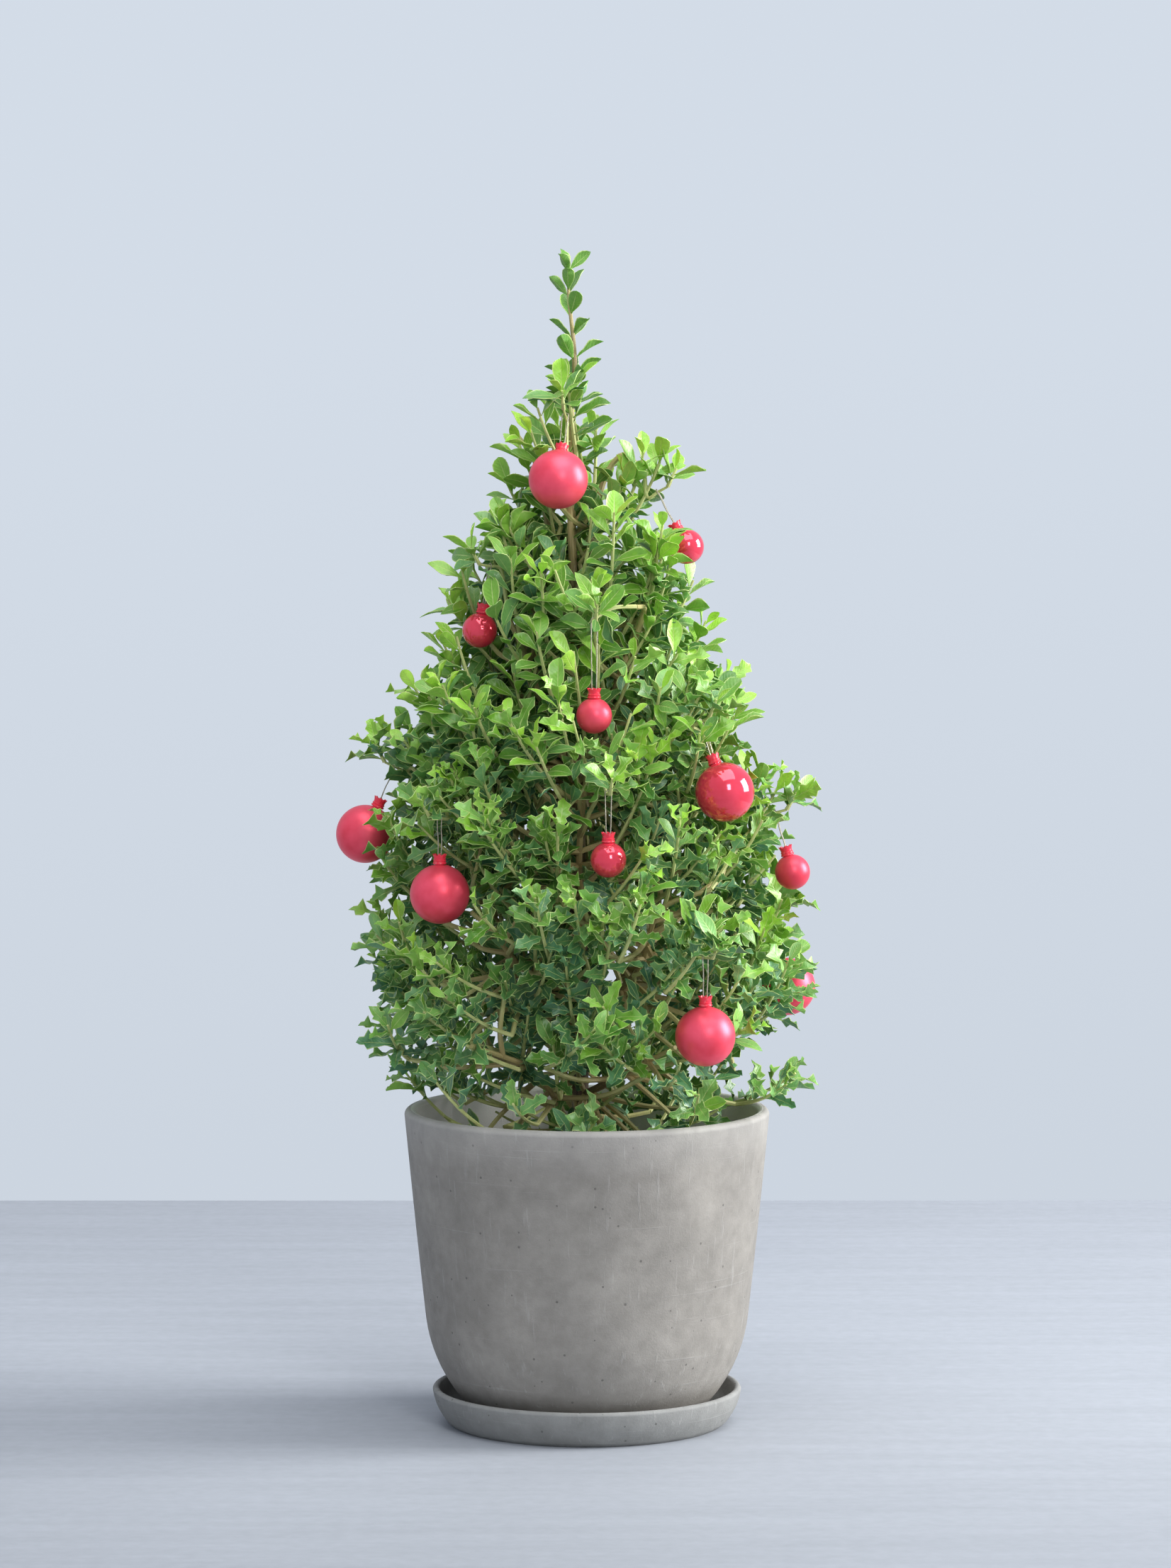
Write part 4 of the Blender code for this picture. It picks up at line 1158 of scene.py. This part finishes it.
class HOLLY_OT_branches(bpy.types.Operator):
    """Fill each branch's room with a limb, twigs, shoots and leaves"""

    bl_idname = "holly.branches"
    bl_label = "Branches and Leaves"

    def execute(self, context):
        settings, wood = scene_settings("holly_foliage"), scene_settings("holly_wood")
        kinds = leaf_kinds(settings)
        leaf, bark = leaf_material(settings), bark_material(wood)
        for number, name in enumerate(BRANCHES):
            rng = random.Random(settings.seed + number * 101)
            leafy_branch(name, kinds, settings, wood, bark, leaf, rng)
        return {"FINISHED"}


LEADER_SPANS = 12
# Sets of leaves up the leader: share of its height, how many, and their size.
WHORLS = (
    (0.05, 4, 1.0),
    (0.21, 4, 1.0),
    (0.36, 3, 1.0),
    (0.52, 3, 0.95),
    (0.68, 2, 0.95),
    (0.84, 3, 0.9),
    (0.99, 3, 0.85),
)


class HOLLY_OT_leader(bpy.types.Operator):
    """Make the top shoot, bare between its sets of leaves"""

    bl_idname = "holly.leader"
    bl_label = "Leader"

    def execute(self, context):
        settings, wood = scene_settings("holly_foliage"), scene_settings("holly_wood")
        rng = random.Random(settings.seed + 7)
        entire, spiny = leaf_kinds(settings)
        foliage = Foliage((entire[::2], spiny), settings, wood, rng)
        low, high = (Vector(corner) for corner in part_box("leader"))
        foot, radius = trunk_at(low.z)
        length = high.z - low.z
        points = []
        for i in range(LEADER_SPANS + 1):
            t = i / LEADER_SPANS
            sway = Vector((0.0022 * math.sin(t * 5.0), 0.0015 * math.sin(t * 4.0 + 1.0), 0.0))
            points.append(foot + UP * (length * 0.80 * t) + sway)
        foliage.add_wood(points, radius, 0.0009, 0.0, 0.45, sides=8)
        self.add_whorls(foliage, points, rng)
        bark = bpy.data.materials["holly bark"]
        leaf = bpy.data.materials["holly leaf"]
        finished_piece("leader_stem", foliage.wood, bark, "tree")
        finished_piece(
            "leader_leaves", foliage.leaves, leaf, "tree", ("leader",), LEAF_CREASE
        )
        return {"FINISHED"}

    def add_whorls(self, foliage, points, rng):
        for share, leaves, size in WHORLS:
            spot = share * LEADER_SPANS
            index = min(int(spot), LEADER_SPANS - 1)
            here = points[index].lerp(points[index + 1], min(spot - index, 1.0))
            turn = rng.random() * FULL_TURN
            for _ in range(leaves):
                turn += FULL_TURN / leaves + rng.uniform(-0.3, 0.3)
                away = Vector((math.cos(turn), math.sin(turn), 0.0))
                spread = math.radians(58.0 - 24.0 * share + rng.uniform(-14, 12))
                way = UP * math.cos(spread) + away * math.sin(spread)
                upper = UP * math.sin(spread) - away * math.cos(spread)
                base = here + UP * rng.uniform(-0.003, 0.003)
                scale = size * rng.uniform(0.80, 0.95)
                # The leader's leaves get a low shade value: painted shade that makes them a little darker.
                foliage.add_leaf(base, way, upper + BACK * 0.6, scale, 0.0, 0.2, 0.35, False)


BARK_RINGS, BARK_SIDES = 150, 22


class HOLLY_OT_trunk(bpy.types.Operator):
    """Make the bark-covered trunk"""

    bl_idname = "holly.trunk"
    bl_label = "Trunk"

    def execute(self, context):
        wood = scene_settings("holly_wood")
        centres = [centre for centre, _ in TRUNK]
        low_z, high_z = centres[0].z, centres[-1].z
        points, radii = [], []
        for i in range(BARK_RINGS + 1):
            centre, radius = trunk_at(low_z + (high_z - low_z) * i / BARK_RINGS)
            points.append(centre.copy())
            radii.append(radius)
        bm = empty_bmesh("tint")
        made = add_tube(bm, points, radii, BARK_SIDES)
        for vert in made:
            centre, radius = trunk_at(vert.co.z)
            away = vert.co - centre
            ridge = noise.noise(Vector((vert.co.x * 380, vert.co.y * 380, vert.co.z * 45)))
            knot = noise.noise(Vector((vert.co.x * 60, vert.co.y * 60, vert.co.z * 38 + 9)))
            away.z = 0.0
            if away.length > WELD:
                relief = ridge - 0.45 + 0.8 * knot
                vert.co += away.normalized() * relief * wood.bark_relief * (radius / radii[0])
        layer = bm.verts.layers.float["tint"]
        for vert in made:
            vert[layer] = 0.45 * max((vert.co.z - low_z) / (high_z - low_z), 0.0) ** 1.5
        bark = bpy.data.materials["holly bark"]
        finished_piece("trunk_bark", bm, bark, "tree", ("trunk",))
        return {"FINISHED"}


NECK_R = 0.0034
SEAM_DEPTH, SEAM_WIDTH = 0.0022, 0.01  # as shares of a ball's radius
# A cap from its skirt up to its crown and in again: shares of its radius and of its height.
CAP_HEIGHT = 0.0070
CAP_SHAPE = (
    (0.78, 0.0),
    (0.97, 0.0),
    (1.0, 0.07),
    (0.97, 0.15),
    (0.88, 0.19),
    (0.88, 0.25),
    (0.94, 0.30),
    (0.94, 0.36),
    (0.84, 0.42),
    (0.86, 0.60),
    (0.93, 0.80),
    (1.0, 0.97),
    (0.97, 1.0),
    (0.86, 0.99),
    (0.78, 0.82),
)
WEB = 0.0008  # thickness of the cap's floor
RING_R, RING_WIRE_R = 0.0013, 0.00045
LOOP_TOP_R, LOOP_FOOT_R, LOOP_WIRE_R = 0.0022, 0.0016, 0.0004


class HOLLY_OT_baubles(bpy.types.Operator):
    """Make each ball, its crown cap and its wire loop"""

    bl_idname = "holly.baubles"
    bl_label = "Baubles"

    def execute(self, context):
        settings = scene_settings("holly_baubles")
        slots = {row["node"]: row["material_slot"] for row in frame["record"]["subparts"]}
        finishes = {
            "gloss_red": bauble_material("gloss red", settings.gloss_red, True),
            "satin_red": bauble_material("satin red", settings.satin_red, False),
        }
        cap_red = cap_material(settings.gloss_red)
        wire = wire_material()
        for bauble in BAUBLES:
            slot_name = slots[f"{bauble.name}_ball"]
            self.make_ball(bauble, finishes[slot_name], slot_name)
            self.make_cap(bauble, cap_red, settings)
            self.make_loop(bauble, wire)
        return {"FINISHED"}

    def make_ball(self, bauble, material, slot_name):
        """A smooth ball with a faint moulding seam and a short neck."""
        node = f"{bauble.name}_ball"
        bm = bmesh.new()
        bmesh.ops.create_uvsphere(bm, u_segments=64, v_segments=40, radius=bauble.radius)
        for vert in bm.verts:
            if abs(vert.co.x) / bauble.radius < SEAM_WIDTH:
                vert.co *= 1.0 - SEAM_DEPTH
        foot = bauble.radius * 0.9
        top = max((p - bauble.centre).dot(bauble.line) for p in points_of(node))
        neck = bmesh.ops.create_cone(
            bm, cap_ends=True, segments=24, radius1=NECK_R, radius2=NECK_R, depth=top - foot
        )["verts"]
        bmesh.ops.translate(bm, verts=neck, vec=(0.0, 0.0, (top + foot) / 2))
        bmesh.ops.transform(bm, matrix=bauble.place(), verts=bm.verts)
        finished_piece(f"{bauble.name}_shell", bm, material, bauble.name, (node,))

    def make_cap(self, bauble, material, settings):
        """Ribbed skirt, narrow waist and a crown with scalloped points, with a ring inside."""
        node = f"{bauble.name}_cap"
        offsets = [point - bauble.centre for point in points_of(node)]
        seat = min(offset.dot(bauble.line) for offset in offsets)
        cap_r = max((offset - bauble.line * offset.dot(bauble.line)).length for offset in offsets)
        ring_z = (bauble.eye - bauble.centre).length
        web = ring_z - 0.0011
        outline = [(0.0, web - WEB), (cap_r * 0.78, web - WEB)]
        outline += [(cap_r * across, seat + CAP_HEIGHT * up) for across, up in CAP_SHAPE]
        outline += [(cap_r * 0.76, web), (0.0, web)]
        bm = lathe(outline, 48)
        for vert in bm.verts:
            spread = math.hypot(vert.co.x, vert.co.y)
            lift = held((vert.co.z - (seat + CAP_HEIGHT * 0.6)) / (CAP_HEIGHT * 0.4))
            if spread > cap_r * 0.7 and lift > 0:
                turn = math.atan2(vert.co.y, vert.co.x) * settings.cap_scallops
                vert.co.z -= settings.scallop_depth * lift * (0.5 - 0.5 * math.cos(turn))
                flare = 1.0 + 0.045 * lift * math.cos(turn)
                vert.co.x *= flare
                vert.co.y *= flare
        ring = [
            Vector((RING_R * math.cos(a), 0.0, ring_z + RING_R * math.sin(a))) for a in turns(20)
        ]
        add_tube(bm, ring, [RING_WIRE_R] * len(ring), 8, closed=True)
        bmesh.ops.transform(bm, matrix=bauble.place(), verts=bm.verts)
        finished_piece(f"{bauble.name}_crown", bm, material, bauble.name, (node,), 30.0)

    def make_loop(self, bauble, material):
        """A closed loop of wire over the twig and through the cap's ring."""
        drop = (bauble.pivot - bauble.eye).length
        top = [
            Vector((0.0, LOOP_TOP_R * math.cos(a), LOOP_TOP_R * math.sin(a)))
            for a in half_turn(0.0, 9)
        ]
        foot = [
            Vector((0.0, LOOP_FOOT_R * math.cos(a), LOOP_FOOT_R - drop + LOOP_FOOT_R * math.sin(a)))
            for a in half_turn(math.pi, 9)
        ]
        down, up = between_points(top[-1], foot[0], 5), between_points(foot[-1], top[0], 5)
        points = top + down + foot + up
        for point in points:
            reach = min(-point.z, point.z + drop) if -drop < point.z < 0 else 0.0
            sway = 0.00035 * math.sin(point.z * 260 + bauble.number)
            point.x += sway * min(reach / 0.006, 1.0)
        bm = bmesh.new()
        add_tube(bm, points, [LOOP_WIRE_R] * len(points), 8, closed=True)
        place = Matrix.Translation(bauble.pivot) @ bauble.place().to_3x3().to_4x4()
        bmesh.ops.transform(bm, matrix=place, verts=bm.verts)
        body = f"hanger_{bauble.number:02d}"
        node = f"{bauble.name}_hanger"
        finished_piece(f"{bauble.name}_loop", bm, material, body, (node,))


def turns(count):
    return [FULL_TURN * i / count for i in range(count)]


def half_turn(start, count):
    return [start + math.pi * i / (count - 1) for i in range(count)]


def between_points(first, last, count):
    return [first.lerp(last, (i + 1) / (count + 1)) for i in range(count)]


ON_AXIS = 0.00001


def half_outline(node):
    """A turned node's own outline as (radius, height) pairs, from its lowest point on the axis."""
    mesh = NODES[node].data
    keys = [
        (round(v.co.x, 5), round(v.co.z, 5)) if abs(v.co.y) < 2 * ON_AXIS else None
        for v in mesh.vertices
    ]
    joined = {}
    for edge in mesh.edges:
        first, second = (keys[i] for i in edge.vertices)
        if first and second and first != second and min(first[0], second[0]) >= 0.0:
            joined.setdefault(first, set()).add(second)
            joined.setdefault(second, set()).add(first)
    at = min(joined, key=lambda key: (key[0] > ON_AXIS, key[1]))
    outline, seen = [at], {at}
    while True:
        off_axis = at[0] >= ON_AXIS
        onward = [key for key in joined[at] if key not in seen]
        onward = [key for key in onward if off_axis or key[0] >= ON_AXIS]
        if not onward:
            return outline
        at = onward[0]
        outline.append(at)
        seen.add(at)


def turned_outline(node):
    """A turned node's outline with finer curves, closed over its floor, above and below."""
    wall = finer_outline(half_outline(node))
    return [(0.0, wall[0][1]), *wall, (0.0, wall[-1][1])]


def finer_outline(outline, per_span=5, corner_deg=48.0):
    """The outline with more points on its curves, and its sharp corners a little eased."""
    points = [Vector((radius, 0.0, height)) for radius, height in outline]
    runs, run = [], [points[0]]
    for before, here, after in zip(points, points[1:], points[2:]):
        run.append(here)
        if math.degrees((here - before).angle(after - here)) > corner_deg:
            runs.append(run)
            run = [here]
    runs.append([*run, points[-1]])
    smooth = []
    for run in runs:
        smooth += [(p.x, p.z) for p in curve_through(run, per_span)[:-1]]
    smooth.append(outline[-1])
    return smooth


class HOLLY_OT_pot(bpy.types.Operator):
    """Make the pot, the saucer and the soil"""

    bl_idname = "holly.pot"
    bl_label = "Pot, Saucer and Soil"

    def execute(self, context):
        settings = scene_settings("holly_pot")
        pot_cement = cement_material("pot fibre-cement", settings.cement_grey, 0.4)
        saucer_cement = cement_material("saucer fibre-cement", settings.saucer_grey, 0.25)
        self.make_pot(pot_cement)
        self.make_saucer(saucer_cement)
        self.make_soil(settings)
        cast = cement_material("cast weight cement", settings.weight_grey, 0.6)
        self.make_weight(cast)
        NODES["trunk_core"].data.materials.clear()
        NODES["trunk_core"].data.materials.append(steel_material())
        return {"FINISHED"}

    def make_weight(self, material):
        """The cast weight under the soil."""
        bm = lathe(turned_outline("weight_plug"), ROUND_STEPS)
        finished_piece("weight_cast", bm, material, "tree", ("weight_plug",))

    def make_pot(self, material):
        bm = lathe(turned_outline("pot"), ROUND_STEPS)
        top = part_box("pot")[1][2]
        # Painted light: the inside of the wall is painted pale as if lit, and the top of the lip a little paler as
        # a painted highlight.
        layer = bm.verts.layers.float.new("worn")
        bm.normal_update()
        for vert in bm.verts:
            on_lip = held((vert.co.z - top + 0.007) / 0.005)
            faces_in = vert.normal.x * vert.co.x + vert.normal.y * vert.co.y < 0.0
            vert[layer] = 1.0 if faces_in else 0.3 * on_lip
        finished_piece("pot_shell", bm, material, "pot", ("pot",))

    def make_saucer(self, material):
        bm = lathe(turned_outline("saucer"), ROUND_STEPS)
        finished_piece("saucer_tray", bm, material, "saucer", ("saucer",))

    def make_soil(self, settings):
        low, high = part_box("soil_cover")
        radius = (high[0] - low[0]) / 2 - 0.0004
        top = high[2] - 0.0022
        rings = 56
        outline = [(0.0, low[2]), (radius, low[2]), (radius, top - 0.002)]
        outline += [(radius * (1 - i / rings), top) for i in range(1, rings)] + [(0.0, top)]
        bm = lathe(outline, 150)
        for vert in bm.verts:
            if vert.co.z > low[2] + 0.005:
                place = vert.co * 70
                vert.co.z += 0.0016 * noise.noise(place) + 0.0011 * noise.noise(place * 3.7)
        rng = random.Random(5)
        for _ in range(settings.crumbs):
            reach = radius * 0.97 * math.sqrt(rng.random())
            turn = rng.random() * FULL_TURN
            size = rng.uniform(0.0009, 0.0024)
            crumb = bmesh.ops.create_icosphere(bm, subdivisions=1, radius=size)["verts"]
            own_place = Vector((turn, reach, size)) * 50
            for vert in crumb:
                vert.co *= 1.0 + 0.35 * noise.noise(vert.co * 900 + own_place)
            spot = (reach * math.cos(turn), reach * math.sin(turn), top + size * 0.4)
            bmesh.ops.translate(bm, verts=crumb, vec=spot)
        finished_piece("soil_crumb", bm, soil_material(), "tree", ("soil_cover",), 50.0)


# Each light's name, place, height on the tree that it points at, size and watts.
LIGHTS = (
    ("window", (3.1, 0.05, 1.45), 0.35, (1.5, 1.9), 165.0),
    ("front", (0.9, -2.9, 1.7), 0.45, (0.7, 1.2), 26.0),
    ("over", (0.3, -0.6, 2.7), 0.30, (2.0, 2.0), 42.0),
)


class HOLLY_OT_stage(bpy.types.Operator):
    """Set up the floor, the soft light and the camera"""

    bl_idname = "holly.stage"
    bl_label = "Stage"

    def execute(self, context):
        settings = scene_settings("holly_stage")
        self.make_floor(settings)
        self.make_world(settings)
        for light in LIGHTS:
            self.make_light(*light)
        self.make_camera(settings)
        return {"FINISHED"}

    def make_floor(self, settings):
        bm = bmesh.new()
        bmesh.ops.create_grid(bm, x_segments=1, y_segments=1, size=settings.floor_reach)
        mesh = bpy.data.meshes.new("floor")
        bm.to_mesh(mesh)
        bm.free()
        mesh.materials.append(floor_material(settings.floor_colour))
        floor = bpy.data.objects.new("floor", mesh)
        bpy.context.scene.collection.objects.link(floor)

    def make_world(self, settings):
        """Pale wall colour to the camera, darker towards its foot as painted shade, and a softer, dimmer fill for
        the object.
        """
        world = bpy.context.scene.world or bpy.data.worlds.new("studio")
        bpy.context.scene.world = world
        world.use_nodes = True
        world.node_tree.nodes.clear()
        n = Nodes(world.node_tree)
        apart = n.node("ShaderNodeSeparateXYZ")
        n.join(n.place("Generated"), apart.inputs["Vector"])
        height = n.between(apart.outputs["Z"], -0.14, 0.02)
        # Painted shade: the wall that the camera sees is painted darker towards its foot.
        painted_shade_foot_colour = tuple(c * 0.93 for c in settings.wall_colour[:3])
        seen = n.node("ShaderNodeBackground")
        n.join(n.mix(height, painted_shade_foot_colour, settings.wall_colour), seen.inputs["Color"])
        fill = n.node("ShaderNodeBackground")
        fill.inputs["Color"].default_value = (0.80, 0.87, 1.0, 1.0)
        fill.inputs["Strength"].default_value = 0.62
        mixed = n.node("ShaderNodeMixShader")
        n.join(n.node("ShaderNodeLightPath").outputs["Is Camera Ray"], mixed.inputs["Fac"])
        n.join(fill.outputs["Background"], mixed.inputs[1])
        n.join(seen.outputs["Background"], mixed.inputs[2])
        n.join(mixed.outputs["Shader"], n.node("ShaderNodeOutputWorld").inputs["Surface"])

    def make_light(self, name, place, aim_height, size, watts):
        light = bpy.data.lights.new(name, "AREA")
        light.shape = "RECTANGLE"
        light.size, light.size_y = size
        light.energy = watts
        lamp = bpy.data.objects.new(name, light)
        lamp.location = place
        towards = UP * aim_height - Vector(place)
        lamp.rotation_euler = towards.to_track_quat("-Z", "Y").to_euler()
        bpy.context.scene.collection.objects.link(lamp)

    def make_camera(self, settings):
        camera = bpy.data.cameras.new("camera")
        camera.lens = settings.camera_lens
        camera.sensor_width = 36.0
        view = bpy.data.objects.new("camera", camera)
        view.location = (-0.001, -settings.camera_distance, settings.camera_height)
        view.rotation_euler = (math.radians(90) - settings.camera_pitch, 0.0, 0.0)
        bpy.context.scene.collection.objects.link(view)
        bpy.context.scene.camera = view
        bpy.context.scene.view_settings.view_transform = "Standard"


class HOLLY_PT_panel(bpy.types.Panel):
    """Lists the pieces and their settings"""

    bl_label = "Holly Tree"
    bl_idname = "HOLLY_PT_panel"
    bl_space_type = "VIEW_3D"
    bl_region_type = "UI"
    bl_category = "Holly Tree"

    def draw(self, context):
        for name, (group, operators) in SECTIONS.items():
            box = self.layout.box()
            box.label(text=name)
            settings = getattr(context.scene, group)
            for key in settings.__annotations__:
                box.prop(settings, key)
            for operator in operators:
                box.operator(operator.bl_idname)


SECTIONS = {
    "Stage": ("holly_stage", (HOLLY_OT_stage,)),
    "Pot": ("holly_pot", (HOLLY_OT_pot,)),
    "Foliage": ("holly_foliage", (HOLLY_OT_branches, HOLLY_OT_leader)),
    "Wood": ("holly_wood", (HOLLY_OT_trunk,)),
    "Baubles": ("holly_baubles", (HOLLY_OT_baubles,)),
}
SETTINGS = {
    "holly_foliage": FoliageSettings,
    "holly_wood": WoodSettings,
    "holly_baubles": BaubleSettings,
    "holly_pot": PotSettings,
    "holly_stage": StageSettings,
}
CLASSES = (
    *SETTINGS.values(),
    HOLLY_OT_stage,
    HOLLY_OT_pot,
    HOLLY_OT_branches,
    HOLLY_OT_leader,
    HOLLY_OT_trunk,
    HOLLY_OT_baubles,
    HOLLY_PT_panel,
)


def register():
    for each in CLASSES:
        bpy.utils.register_class(each)
    for name, group in SETTINGS.items():
        setattr(bpy.types.Scene, name, PointerProperty(type=group))


def unregister():
    for name in SETTINGS:
        delattr(bpy.types.Scene, name)
    for each in reversed(CLASSES):
        bpy.utils.unregister_class(each)


def main():
    register()
    bpy.ops.holly.stage()
    bpy.ops.holly.pot()
    bpy.ops.holly.branches()
    bpy.ops.holly.leader()
    bpy.ops.holly.trunk()
    bpy.ops.holly.baubles()


if __name__ == "__main__":
    main()
